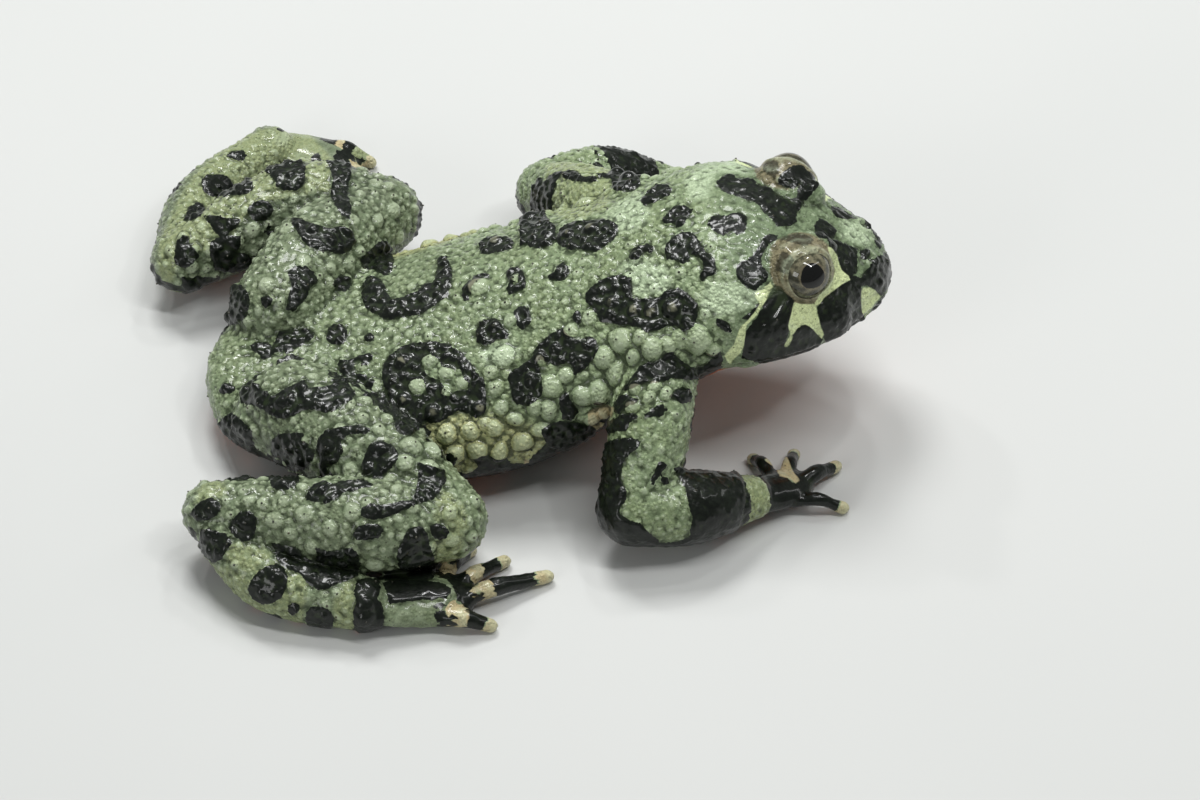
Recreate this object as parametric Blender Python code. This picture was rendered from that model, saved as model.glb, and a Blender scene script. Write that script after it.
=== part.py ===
"""Oriental fire-bellied toad at life size, a still model in a resting pose.

Places and sizes are in millimetres in the toad's own frame: +X to the snout, +Y to the toad's
left, +Z up and the floor at height 0. The finished solids are in metres, and their origin is at
the middle of the underside of the box that holds them all.
"""
import math
import random

import bmesh
import bpy
import numpy as np
from mathutils import Matrix, Vector

MM = 0.001
GAP = 0.3

# Torso and head are one lofted form, cut apart at the neck.
VENT_X = -0.4
SNOUT_X = 42.9
NECK_X = 29.5
NECK_BARE = 1.5
BROW_X = 33.5
NECK_LEAN = math.radians(22)
NECK_HEIGHT = 9.0
BLOCK = 60.0
# One row for each station: place along X, half width, top, underside, height of the widest line
BODY_STATIONS = (
    (VENT_X, 0.0, 2.9, 2.9, 2.9),
    (-0.1, 2.2, 3.8, 1.5, 2.6),
    (1.2, 4.6, 4.4, 0.4, 2.5),
    (4.5, 6.9, 5.1, -0.2, 2.4),
    (9.5, 8.8, 6.3, -0.35, 2.6),
    (14.5, 9.5, 8.1, -0.35, 3.1),
    (19.5, 9.3, 10.0, 0.1, 4.2),
    (24.0, 8.3, 11.9, 1.8, 6.3),
    (28.0, 7.6, 13.6, 4.2, 8.6),
    (31.0, 7.8, 14.5, 6.0, 9.9),
    (34.0, 7.5, 14.6, 6.6, 10.0),
    (37.0, 6.3, 13.8, 6.7, 9.7),
    (39.9, 4.6, 12.5, 6.9, 9.5),
    (42.0, 2.6, 11.2, 7.5, 9.3),
    (SNOUT_X, 0.0, 9.5, 9.5, 9.5),
)
BODY_SQUARENESS = 0.92

EYE_PLACE = (36.2, 3.7, 12.85)
EYE_BULGE = 2.25
EYE_BALL = 1.6
EYE_FORWARD = math.radians(18)
EYE_RAISED = math.radians(32)
EYE_PROUD = 0.5
LID_RIM = 0.25
LID_LEVEL = 0.76
LID_OUTSIDE = 0.1

# The mouth from its corners to its middle: how far forward, and at what height
MOUTH_REACH = (32.0, 42.4)
MOUTH_HEIGHT = (9.0, 8.4)
MOUTH_PLACES = 13
MOUTH_GROOVE = 0.24
LIP = 0.42
NOSTRIL_PLACE = (41.1, 1.7, 11.75)
NOSTRIL = 0.3
NOSTRIL_RIM_SUNK = (0.2, 0.0, 0.15)
NOSTRIL_HOLE_RAISED = (0.1, 0.0, 0.3)

# Joints of the limbs, a place for each side
JOINTS = {
    "right": {
        "hip": (5.2, -4.6, 4.1), "thigh": (9.3, -9.0, 4.5), "knee": (13.7, -14.1, 3.7),
        "calf": (8.6, -14.2, 4.0), "heel": (-0.2, -11.9, 3.3), "tarsus": (2.6, -16.6, 1.8),
        "ankle": (8.2, -19.0, 1.4), "toe_root": (13.2, -18.2, 0.8),
        "shoulder": (27.2, -6.2, 8.2), "upper_arm": (26.5, -10.0, 6.6), "elbow": (25.2, -13.7, 3.3),
        "forearm": (28.8, -13.5, 2.9), "wrist": (32.5, -12.1, 1.9), "knuckles": (35.2, -10.5, 0.95),
    },
    "left": {
        "hip": (4.6, 4.6, 4.1), "thigh": (7.4, 9.0, 4.5), "knee": (11.4, 13.2, 3.9),
        "calf": (5.8, 14.2, 4.0), "heel": (-1.7, 10.9, 3.0), "tarsus": (-0.4, 17.1, 2.2),
        "ankle": (4.4, 22.2, 1.9), "toe_root": (8.4, 21.7, 0.9),
        "shoulder": (27.0, 6.2, 8.2), "upper_arm": (24.6, 10.0, 6.6), "elbow": (22.3, 14.4, 3.8),
        "forearm": (26.0, 16.0, 3.3), "wrist": (29.9, 16.6, 1.9), "knuckles": (32.9, 16.4, 0.95),
    },
}
# Half widths along each limb piece, from its first place to its last
HALF_WIDTHS = {
    "thigh": (3.3, 3.3, 2.6),
    "shank": (2.6, 2.9, 2.1),
    "tarsus": (1.9, 1.95, 1.75),
    "upper_arm": (2.6, 2.5, 2.15),
    "forearm": (2.25, 2.2, 1.45),
}
PLACES = {
    "thigh": ("hip", "thigh", "knee"),
    "shank": ("knee", "calf", "heel"),
    "tarsus": ("heel", "tarsus", "ankle"),
    "upper_arm": ("shoulder", "upper_arm", "elbow"),
    "forearm": ("elbow", "forearm", "wrist"),
}
SOLE_HALF_WIDTHS = (1.75, 2.1, 2.0)
PALM_HALF_WIDTHS = (1.3, 1.6, 1.4)
SOLE_THICKNESS = 0.5
PALM_THICKNESS = 0.62

# One row for each toe, inner first: length, angle outward from the foot's line, half width
TOES = ((3.4, -62, 0.5), (4.2, -46, 0.55), (5.0, -30, 0.6), (7.2, -12, 0.65), (3.4, 16, 0.7))
FINGERS = ((2.6, -80, 0.5), (3.2, -42, 0.52), (3.9, -8, 0.6), (3.0, 36, 0.48))
DIGIT_SPACING = {"toes": 0.8, "fingers": 0.75}
# How far the toes turn in from the foot's line, in degrees
TOE_TUCK = {"right": 0, "left": 30}
DIGIT_ARCH = 0.25
DIGIT_SUNK = 0.05
TIP_HEIGHT = 0.42

TUBE_SIDES = 14
TUBE_RINGS = 9
DIGIT_SIDES = 8
DIGIT_RINGS = 5
CAP_RINGS = 3
RIM_SIDES = 18
LIP_RINGS = 25
BODY_RINGS = 34
BODY_SIDES = 32
WART_SIDES = 6
# Warts on each node: how many, smallest and largest radius
WARTS = {
    "torso": (34, 0.6, 1.0), "head": (6, 0.4, 0.6),
    "thigh": (5, 0.5, 0.75), "shank": (5, 0.5, 0.75), "tarsus": (2, 0.35, 0.5),
    "upper_arm": (2, 0.4, 0.55), "forearm": (1, 0.4, 0.5),
}
# Rings of a wart's dome: height and half width for a radius of 1, and its lowest and topmost place
WART_LEVELS = ((-0.5, 0.9), (0.12, 1.0), (0.55, 0.62))
WART_FOOT = -0.6
WART_TOP = 0.72
WART_TRIES = 12
SMALLEST_FACE = 0.2
WART_APART = 0.15
WART_CLEAR = 0.35
WART_LOWEST = 2.2
WART_LOWEST_SLOPE = -0.1
SEED = 7

GREEN = (0.25, 0.42, 0.2, 1)
GREY_GREEN = (0.2, 0.3, 0.2, 1)
EYE_COLOUR = (0.02, 0.015, 0.01, 1)
SKIN_ROUGHNESS = 0.35
EYE_ROUGHNESS = 0.05


def smooth_rows(rows, count):
    """Reads count even steps of a curve that runs smoothly through the rows."""
    rows = np.asarray(rows, float)
    ends = np.vstack([2 * rows[0] - rows[1], rows, 2 * rows[-1] - rows[-2]])
    steps = np.linspace(0, len(rows) - 1, count)
    index = np.minimum(steps.astype(int), len(rows) - 2)
    part = (steps - index)[:, None]
    before, start, end, after = (ends[index + shift] for shift in range(4))
    bend = 2 * before - 5 * start + 4 * end - after
    twist = 3 * (start - end) + after - before
    return start + 0.5 * part * (end - before + part * (bend + part * twist))


def tube_faces(rings, sides):
    """Faces of a closed tube: rings of vertices one after another, then its two poles."""
    faces = []
    first_pole = rings * sides
    last_pole = first_pole + 1
    for side in range(sides):
        following = (side + 1) % sides
        for start in range(0, (rings - 1) * sides, sides):
            here, there = start + side, start + following
            faces.append((here, there, there + sides, here + sides))
        last = (rings - 1) * sides
        faces.append((first_pole, following, side))
        faces.append((last_pole, last + side, last + following))
    return faces


def body_rows(count):
    """Stations of the body at count even steps, between its two pointed ends."""
    return smooth_rows(BODY_STATIONS, count + 2)


def body_shape(grow=0.0):
    """Torso and head: a slightly squared oval at each station, grown outward by a gap."""
    rows = body_rows(BODY_RINGS)
    x, width, top, under, middle = rows[1:-1].T
    turn = np.linspace(0, 2 * math.pi, BODY_SIDES, endpoint=False)
    across = np.sign(np.cos(turn)) * np.abs(np.cos(turn)) ** BODY_SQUARENESS
    upward = np.sign(np.sin(turn)) * np.abs(np.sin(turn)) ** BODY_SQUARENESS
    height = np.where(upward > 0, (top - middle + grow)[:, None], (middle - under + grow)[:, None])
    points = np.stack([
        np.repeat(x[:, None], BODY_SIDES, axis=1),
        (width + grow)[:, None] * across,
        middle[:, None] + height * upward,
    ], axis=-1)
    first, last = rows[0], rows[-1]
    poles = [(first[0] - grow, 0, first[4]), (last[0] + grow, 0, last[4])]
    return np.vstack([points.reshape(-1, 3), poles]), tube_faces(BODY_RINGS, BODY_SIDES)


def tube_shape(places, half_widths, thickness=1.0, grow=0.0, rings=TUBE_RINGS, sides=TUBE_SIDES):
    """Limb piece: a round or flattened tube along a smooth line, closed by round ends."""
    rows = smooth_rows(np.column_stack([places, half_widths]), rings)
    line, radius = rows[:, :3], rows[:, 3] + grow
    along = np.gradient(line, axis=0)
    along /= np.linalg.norm(along, axis=1)[:, None]
    bend = np.linspace(0, math.pi / 2, CAP_RINGS + 1)[1:-1, None]
    start_cap = line[0] - along[0] * radius[0] * np.sin(bend[::-1])
    end_cap = line[-1] + along[-1] * radius[-1] * np.sin(bend)
    centres = np.vstack([start_cap, line, end_cap])
    narrowed = np.cos(bend[:, 0])
    radii = np.concatenate([radius[0] * narrowed[::-1], radius, radius[-1] * narrowed])
    ways = np.vstack([np.repeat(along[:1], len(bend), 0), along, np.repeat(along[-1:], len(bend), 0)])
    sideways = np.cross(ways, (0, 0, 1))
    sideways /= np.linalg.norm(sideways, axis=1)[:, None]
    rise = np.cross(sideways, ways) * thickness
    turn = np.linspace(0, 2 * math.pi, sides, endpoint=False)[None, :, None]
    rings = sideways[:, None] * np.cos(turn) + rise[:, None] * np.sin(turn)
    points = (centres[:, None] + radii[:, None, None] * rings).reshape(-1, 3)
    poles = [line[0] - along[0] * radius[0], line[-1] + along[-1] * radius[-1]]
    return np.vstack([points, poles]), tube_faces(len(centres), sides)


def ball_shape(centre, radius, rings=9, sides=14):
    """Ball with its poles up and down."""
    fall = np.linspace(0, math.pi, rings + 2)[1:-1, None]
    turn = np.linspace(0, 2 * math.pi, sides, endpoint=False)
    points = np.stack([
        np.sin(fall) * np.cos(turn), np.sin(fall) * np.sin(turn), np.cos(fall) * np.ones(sides),
    ], axis=-1).reshape(-1, 3)
    points = np.vstack([points, (0, 0, 1), (0, 0, -1)])
    return points * radius + np.asarray(centre), tube_faces(rings, sides)


def dome_shape(centre, normal, radius):
    """Wart: a low dome of few sides, rooted under the skin."""
    normal = Vector(normal).normalized()
    turn_up = normal.to_track_quat("Z", "Y").to_matrix()
    turn = np.linspace(0, 2 * math.pi, WART_SIDES, endpoint=False)
    rings = [
        np.column_stack([np.cos(turn) * wide, np.sin(turn) * wide, np.full(WART_SIDES, level)])
        for level, wide in WART_LEVELS
    ]
    poles = [(0, 0, WART_FOOT), (0, 0, WART_TOP)]
    points = np.vstack(rings + [poles]) * radius
    points = points @ np.array(turn_up).T + np.asarray(centre)
    return points, tube_faces(len(WART_LEVELS), WART_SIDES)


def box_shape(centre, size, lean=0.0):
    """Box, turned about the line across the toad."""
    signs = [(x, y, z) for x in (-1, 1) for y in (-1, 1) for z in (-1, 1)]
    turn = np.array(Matrix.Rotation(lean, 3, "Y"))
    points = (np.array(signs) * np.asarray(size) / 2) @ turn.T + np.asarray(centre)
    ends = [(0, 1, 3, 2), (4, 6, 7, 5)]
    return points, ends + [(0, 4, 5, 1), (2, 3, 7, 6), (0, 2, 6, 4), (1, 5, 7, 3)]


FLOOR_BLOCK = box_shape((BLOCK / 2, 0, -BLOCK / 2), (2 * BLOCK, 2 * BLOCK, BLOCK))


def make_object(name, shape):
    """Puts one closed shape into the scene, in metres, with its faces pointing out."""
    points, faces = shape
    mesh = bpy.data.meshes.new(name)
    mesh.from_pydata((np.asarray(points) * MM).tolist(), [], faces)
    work = bmesh.new()
    work.from_mesh(mesh)
    bmesh.ops.recalc_face_normals(work, faces=work.faces)
    work.to_mesh(mesh)
    work.free()
    item = bpy.data.objects.new(name, mesh)
    bpy.context.scene.collection.objects.link(item)
    return item


def combine(target, shapes, operation):
    """Joins closed shapes to the target, or cuts them from it, in one Boolean."""
    group = bpy.data.collections.new("group")
    bpy.context.scene.collection.children.link(group)
    tools = []
    for shape in shapes:
        tool = make_object("tool", shape)
        bpy.context.scene.collection.objects.unlink(tool)
        group.objects.link(tool)
        tools.append(tool)
    step = target.modifiers.new("combine", "BOOLEAN")
    step.operation = operation
    step.operand_type = "COLLECTION"
    step.collection = group
    step.solver = "EXACT"
    view = bpy.context.evaluated_depsgraph_get()
    result = bpy.data.meshes.new_from_object(target.evaluated_get(view))
    target.modifiers.clear()
    old_mesh = target.data
    target.data = result
    bpy.data.meshes.remove(old_mesh)
    for tool in tools:
        tool_mesh = tool.data
        bpy.data.objects.remove(tool)
        bpy.data.meshes.remove(tool_mesh)
    bpy.data.collections.remove(group)


def keep_largest(item):
    """Keeps the largest closed surface of a node, without scraps or sealed hollows."""
    work = bmesh.new()
    work.from_mesh(item.data)
    work.verts.ensure_lookup_table()
    left = set(range(len(work.verts)))
    largest = set()
    while left:
        found = {left.pop()}
        edge = list(found)
        while edge:
            vert = work.verts[edge.pop()]
            for link in vert.link_edges:
                other = link.other_vert(vert).index
                if other not in found:
                    found.add(other)
                    edge.append(other)
        left -= found
        if len(found) > len(largest):
            largest = found
    scraps = [vert for vert in work.verts if vert.index not in largest]
    bmesh.ops.delete(work, geom=scraps, context="VERTS")
    work.to_mesh(item.data)
    work.free()


def limb_shape(side, piece, grow=0.0):
    """Tube of one limb piece on one side."""
    places = [JOINTS[side][place] for place in PLACES[piece]]
    return tube_shape(places, HALF_WIDTHS[piece], grow=grow)


def digit_shapes(side, start, root, digits, spacing, tuck=0):
    """Toes or fingers: thin round-tipped tubes that fan out from the end of a sole or palm."""
    outward = -1 if side == "right" else 1
    start, root = (np.array(JOINTS[side][place]) for place in (start, root))
    line = root - start
    heading = math.atan2(line[1], line[0])
    forward = np.array((math.cos(heading), math.sin(heading), 0))
    across = np.array((-math.sin(heading), math.cos(heading), 0)) * outward
    shapes = []
    for number, (length, angle, half_width) in enumerate(digits):
        turned = math.radians(angle - tuck)
        way = forward * math.cos(turned) + across * math.sin(turned)
        sideways = number - (len(digits) - 1) / 2
        foot = root + across * sideways * spacing - forward * abs(sideways) * spacing / 2
        foot[2] = root[2]
        middle = foot + way * length / 2
        middle[2] = root[2] + DIGIT_ARCH
        tip = foot + way * length
        tip[2] = TIP_HEIGHT
        widths = (half_width, half_width, TIP_HEIGHT + DIGIT_SUNK)
        places = (foot - way * spacing, middle, tip)
        shapes.append(tube_shape(places, widths, rings=DIGIT_RINGS, sides=DIGIT_SIDES))
    return shapes


def sole_shape(side, start, root, half_widths, thickness, grow=0.0):
    """Flat of a foot or hand, from the end of the limb to the roots of its digits."""
    start, root = (np.array(JOINTS[side][place]) for place in (start, root))
    return tube_shape([start, (start + root) / 2, root], half_widths, thickness, grow)


def in_body(point, reach):
    """Whether a place is in the torso or head, or nearer to them than the reach."""
    rows = body_rows(BODY_RINGS)
    width, top, under, middle = (np.interp(point[0], rows[:, 0], rows[:, row]) for row in range(1, 5))
    height = top - middle if point[2] > middle else middle - under
    along = rows[0, 0] - reach < point[0] < rows[-1, 0] + reach
    outward = math.hypot(point[1] / (width + reach), (point[2] - middle) / (height + reach))
    return along and outward < 1


def in_limb(point, side, piece, reach):
    """Whether a place is in a limb piece, or nearer to it than the reach."""
    names, widths = ("ankle", "toe_root"), SOLE_HALF_WIDTHS[::2]
    if piece in PLACES:
        names, widths = PLACES[piece], HALF_WIDTHS[piece]
    places = [JOINTS[side][name] for name in names]
    rows = smooth_rows(np.column_stack([places, widths]), 4 * TUBE_RINGS)
    return np.min(np.linalg.norm(rows[:, :3] - point, axis=1) - rows[:, 3]) < reach


def blocked(point, node, reach):
    """Whether a wart on that node would touch one of the other nodes."""
    if node[0] != "body" and in_body(point, reach):
        return True
    limbs = [(side, piece) for side in JOINTS for piece in [*PLACES, "foot"]]
    return any(in_limb(point, *limb, reach) for limb in limbs if limb != node)


def wart_shapes(kind, shape, node, chance):
    """Warts spread at random over the upper side of a piece, clear of its neighbours."""
    count, smallest, largest = WARTS[kind]
    points, faces = shape
    places = []
    shapes = []
    for _ in range(count * WART_TRIES):
        face = points[list(chance.choice(faces))]
        centre = face.mean(axis=0)
        normal = np.cross(face[2] - face[0], face[3 % len(face)] - face[1])
        size = np.linalg.norm(normal)
        radius = smallest + (largest - smallest) * chance.random() ** 2
        if size < SMALLEST_FACE or len(shapes) == count:
            continue
        normal = normal / size
        if np.dot(normal, centre - points.mean(axis=0)) < 0:
            normal = -normal
        reach = radius + WART_APART
        near = any(np.linalg.norm(centre - place) < reach + other for place, other in places)
        low = normal[2] < WART_LOWEST_SLOPE or centre[2] < WART_LOWEST
        if near or low or blocked(centre, node, radius + WART_CLEAR):
            continue
        places.append((centre, radius))
        shapes.append(dome_shape(centre, normal, radius))
    return shapes


def paint(item, name, colour, roughness):
    """Gives a node its own Principled material and smooth shading."""
    material = bpy.data.materials.new(name)
    material.use_nodes = True
    shader = material.node_tree.nodes["Principled BSDF"]
    shader.inputs["Base Color"].default_value = colour
    shader.inputs["Roughness"].default_value = roughness
    item.data.materials.clear()
    item.data.materials.append(material)
    item.data.shade_smooth()


def eye_place(outward):
    """Middle of one eye's bulge, and the way the eye looks."""
    centre = np.array(EYE_PLACE) * (1, outward, 1)
    level = math.cos(EYE_RAISED)
    forward, aside = math.sin(EYE_FORWARD) * level, math.cos(EYE_FORWARD) * level
    return centre, np.array((forward, outward * aside, math.sin(EYE_RAISED)))


def ring_shape(centre, way, radius, half_width, sides=RIM_SIDES, tube_sides=6):
    """Closed ring round a line, as the rim of an eyelid."""
    turn_up = np.array(Vector(way).to_track_quat("Z", "Y").to_matrix())
    around = np.linspace(0, 2 * math.pi, sides, endpoint=False)[:, None]
    inside = np.linspace(0, 2 * math.pi, tube_sides, endpoint=False)[None, :]
    reach = radius + half_width * np.cos(inside)
    points = np.stack([
        reach * np.cos(around), reach * np.sin(around), half_width * np.sin(inside) + 0 * around,
    ], axis=-1).reshape(-1, 3)
    faces = []
    for turn in range(sides):
        for step in range(tube_sides):
            here, there = turn * tube_sides, (turn + 1) % sides * tube_sides
            following = (step + 1) % tube_sides
            faces.append((here + step, there + step, there + following, here + following))
    return points @ turn_up.T + np.asarray(centre), faces


def mouth_line(lift):
    """Places along the mouth from corner to corner on the head, lifted by a lip's height."""
    turn = np.linspace(-math.pi / 2, math.pi / 2, MOUTH_PLACES)
    x = MOUTH_REACH[0] + (MOUTH_REACH[1] - MOUTH_REACH[0]) * np.cos(turn)
    height = MOUTH_HEIGHT[0] + (MOUTH_HEIGHT[1] - MOUTH_HEIGHT[0]) * np.cos(turn)
    rows = body_rows(BODY_RINGS)
    width, under, middle = (np.interp(x, rows[:, 0], rows[:, row]) for row in (1, 3, 4))
    down = np.clip((middle - height) / (middle - under), 0, 1) ** (2 / BODY_SQUARENESS)
    outward = np.sign(turn) * width * (1 - down) ** (BODY_SQUARENESS / 2)
    return np.column_stack([x, outward, height + lift])


def head_parts(outward):
    """Bulge of the eye, the rim of its lids, the nostril's rim and what is cut for both."""
    centre, way = eye_place(outward)
    ball_centre = centre + way * EYE_PROUD
    nostril = np.array(NOSTRIL_PLACE) * (1, outward, 1)
    opening = math.sqrt((EYE_BALL + GAP) ** 2 - LID_LEVEL ** 2)
    added = [
        ball_shape(centre, EYE_BULGE, rings=11, sides=20),
        ring_shape(ball_centre + way * LID_LEVEL, way, opening + LID_OUTSIDE, LID_RIM),
        ball_shape(nostril - NOSTRIL_RIM_SUNK, 2 * NOSTRIL, rings=5, sides=10),
    ]
    window = [ball_centre + way * reach for reach in (GAP, 2 * EYE_BALL)]
    cut = [
        ball_shape(ball_centre, EYE_BALL + GAP),
        tube_shape(window, (opening, opening), rings=CAP_RINGS, sides=RIM_SIDES),
        ball_shape(nostril + NOSTRIL_HOLE_RAISED, NOSTRIL, rings=3, sides=8),
    ]
    return added, cut


def neck_block(forward):
    """Block on one side of the neck's leaning plane, which reaches half a gap past it."""
    normal = np.array((math.cos(NECK_LEAN), 0, math.sin(NECK_LEAN)))
    centre = np.array((NECK_X, 0, NECK_HEIGHT)) + forward * normal * (BLOCK - GAP) / 2
    return box_shape(centre, (BLOCK, BLOCK, BLOCK), -NECK_LEAN)


def make_body(chance):
    """Torso and head with their warts, and the two eyeballs."""
    body = body_shape()
    reaches = [(face, body[0][list(face)][:, 0]) for face in body[1]]
    behind_neck = (body[0], [face for face, x in reaches if x.max() < NECK_X - NECK_BARE])
    before_neck = (body[0], [face for face, x in reaches if NECK_X + NECK_BARE < x.min() < BROW_X])
    torso = make_object("torso", body)
    combine(torso, wart_shapes("torso", behind_neck, ("body",), chance), "UNION")
    combine(torso, [neck_block(1), FLOOR_BLOCK], "DIFFERENCE")

    head = make_object("head", body)
    added, cut = [], [neck_block(-1)]
    for outward in (-1, 1):
        side_added, side_cut = head_parts(outward)
        added += side_added
        cut += side_cut
    lip_widths = np.full(MOUTH_PLACES, LIP)
    lip_widths[[0, -1]] = LIP / 2
    groove_widths = np.full(MOUTH_PLACES, MOUTH_GROOVE)
    added.append(tube_shape(mouth_line(LIP), lip_widths, rings=LIP_RINGS, sides=DIGIT_SIDES))
    cut.append(tube_shape(mouth_line(0), groove_widths, rings=LIP_RINGS, sides=DIGIT_SIDES))
    added += wart_shapes("head", before_neck, ("body",), chance)
    combine(head, added, "UNION")
    combine(head, cut, "DIFFERENCE")
    eyes = []
    for side, outward in (("right", -1), ("left", 1)):
        centre, way = eye_place(outward)
        eyes.append(make_object(f"eye_{side}", ball_shape(centre + way * EYE_PROUD, EYE_BALL)))
    return torso, head, eyes


def make_limbs(side, chance):
    """Hind leg and foreleg of one side, each piece cut to meet the one before it."""
    own = {piece: limb_shape(side, piece) for piece in PLACES}
    grown = {piece: limb_shape(side, piece, GAP) for piece in PLACES}
    body = body_shape(GAP)
    cuts = {
        "thigh": [body],
        "shank": [body, grown["thigh"]],
        "tarsus": [body, grown["shank"], grown["thigh"]],
        "upper_arm": [body],
        "forearm": [body, grown["upper_arm"]],
    }
    pieces = []
    for piece, shape in own.items():
        item = make_object(f"{piece}_{side}", shape)
        combine(item, wart_shapes(piece, shape, (side, piece), chance), "UNION")
        combine(item, cuts[piece] + [FLOOR_BLOCK], "DIFFERENCE")
        pieces.append(item)

    sole = sole_shape(side, "ankle", "toe_root", SOLE_HALF_WIDTHS, SOLE_THICKNESS)
    toes = digit_shapes(side, "ankle", "toe_root", TOES, DIGIT_SPACING["toes"], TOE_TUCK[side])
    foot = make_object(f"foot_{side}", sole)
    combine(foot, toes, "UNION")
    combine(foot, [grown["tarsus"], grown["shank"], FLOOR_BLOCK], "DIFFERENCE")

    palm = sole_shape(side, "wrist", "knuckles", PALM_HALF_WIDTHS, PALM_THICKNESS)
    fingers = digit_shapes(side, "wrist", "knuckles", FINGERS, DIGIT_SPACING["fingers"])
    hand = make_object(f"hand_{side}", palm)
    combine(hand, fingers, "UNION")
    combine(hand, [grown["forearm"], FLOOR_BLOCK], "DIFFERENCE")
    return pieces + [foot, hand]


def settle(items):
    """Shifts every solid so that the origin is at the middle of the underside of them all."""
    corners = np.vstack([np.array([tuple(vert.co) for vert in item.data.vertices]) for item in items])
    low, high = corners.min(axis=0), corners.max(axis=0)
    shift = Matrix.Translation((-(low[0] + high[0]) / 2, -(low[1] + high[1]) / 2, -low[2]))
    for item in items:
        item.data.transform(shift)


def main():
    for item in list(bpy.data.objects):
        bpy.data.objects.remove(item)
    chance = random.Random(SEED)
    torso, head, eyes = make_body(chance)
    flesh = [torso, head]
    for side in JOINTS:
        flesh += make_limbs(side, chance)
    for item in flesh:
        keep_largest(item)
        grey = item.name.startswith(("shank", "foot", "hand"))
        paint(item, item.name, GREY_GREEN if grey else GREEN, SKIN_ROUGHNESS)
    for item in eyes:
        paint(item, item.name, EYE_COLOUR, EYE_ROUGHNESS)
    settle(flesh + eyes)


main()
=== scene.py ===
"""Looks of the fire-bellied toad: one warty skin, two eyes, dark spines on the warts, a studio round it.

Shapes are worked out in millimetres in the toad's own frame: +X to the snout, +Y to the toad's left,
+Z up and the floor at height 0. The place of the right eye's solid ties that frame to the model's.
"""
import math

import bmesh
import bpy
import numpy as np
from mathutils import Matrix, Vector


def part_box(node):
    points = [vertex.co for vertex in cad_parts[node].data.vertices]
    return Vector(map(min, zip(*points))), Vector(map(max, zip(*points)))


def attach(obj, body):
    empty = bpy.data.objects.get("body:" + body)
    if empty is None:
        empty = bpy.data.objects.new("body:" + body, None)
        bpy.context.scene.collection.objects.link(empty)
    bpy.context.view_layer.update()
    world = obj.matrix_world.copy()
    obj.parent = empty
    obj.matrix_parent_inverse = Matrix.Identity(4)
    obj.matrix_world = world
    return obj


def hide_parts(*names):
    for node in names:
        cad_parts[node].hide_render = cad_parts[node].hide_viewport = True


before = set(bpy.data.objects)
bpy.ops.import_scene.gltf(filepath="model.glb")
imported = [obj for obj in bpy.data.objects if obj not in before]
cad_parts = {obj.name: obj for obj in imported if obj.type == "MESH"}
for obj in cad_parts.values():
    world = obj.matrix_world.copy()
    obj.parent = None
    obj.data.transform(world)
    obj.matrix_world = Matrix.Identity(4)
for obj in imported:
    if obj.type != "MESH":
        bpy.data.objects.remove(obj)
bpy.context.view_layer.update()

MM = 0.001
SEED = 11
PHOTO_SIZE = (1200.0, 800.0)

# Torso and head, one row for each station: place along X, half width, top, underside, widest line's
# height, and how square the upper half is, from 1 for an oval down to a box
BODY_STATIONS = (
    (-0.4, 0.0, 2.9, 2.9, 2.9, 1.0),
    (-0.1, 2.2, 3.8, 1.5, 2.6, 1.0),
    (1.2, 4.6, 4.4, 0.4, 2.5, 0.95),
    (4.5, 6.9, 5.1, -0.2, 2.4, 0.92),
    (9.5, 8.8, 6.3, -0.35, 2.6, 0.92),
    (14.5, 9.5, 8.1, -0.35, 3.1, 0.95),
    (19.5, 9.3, 10.0, 0.1, 4.2, 0.98),
    (24.0, 8.3, 11.9, 1.8, 6.3, 0.95),
    (28.0, 7.6, 13.6, 4.2, 8.6, 0.9),
    (31.0, 7.8, 14.5, 6.0, 9.9, 0.87),
    (34.0, 7.5, 14.6, 6.6, 10.0, 0.84),
    (37.0, 6.3, 13.8, 6.7, 9.7, 0.82),
    (39.7, 4.2, 12.35, 6.9, 9.5, 0.86),
    (41.6, 2.3, 11.0, 7.5, 9.3, 0.92),
    (42.5, 0.0, 9.5, 9.5, 9.5, 1.0),
)
# How square the lower half is, at every station
UNDER_SQUARE = 0.92

# Middle of the left eye's bulge, radius of the bulge and of the ball in it, how far forward of sideways
# and how far up the eye looks, and how far along that look the ball's middle lies
EYE_PLACE = (36.2, 3.7, 12.85)
EYE_BULGE = 2.2
EYE_BALL = 1.72
EYE_FORWARD = math.radians(18)
EYE_RAISED = math.radians(32)
EYE_PROUD = 0.5
# How far the front of the ball swells, and over how many degrees from the look
CORNEA_SWELL = 0.1
CORNEA_ANGLE = 34
# Half the angle of the lids' opening, in degrees, what it gains before and behind, and what the lid takes
# back above and behind; then how far the rim stands over the ball, and how thick the lid is beyond it
LID_OPENING = 61
LID_LONGER = 2
LID_OVER_TOP = 14
LID_OVER_BACK = 11
LID_RIM = 0.07
LID_THICKNESS = 0.13
# How deep the skin sinks behind the ball's surface; then, in degrees past the opening's edge, where the
# lid's wall stands, up to where the lid is never lower than its rim, and where it begins and ends to melt
# into the bulge, each with what it comes sooner below
LID_DEPTH = 0.3
LID_WALL = (-3, 1)
LID_FULL = 25
LID_BLEND = ((14, 9), (42, 22))
# The mouth from its corners to its middle: how far forward, and at what height
MOUTH_REACH = (32.0, 42.4)
MOUTH_HEIGHT = (9.0, 8.4)
NOSTRIL_PLACE = (40.8, 1.5, 11.4)

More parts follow.
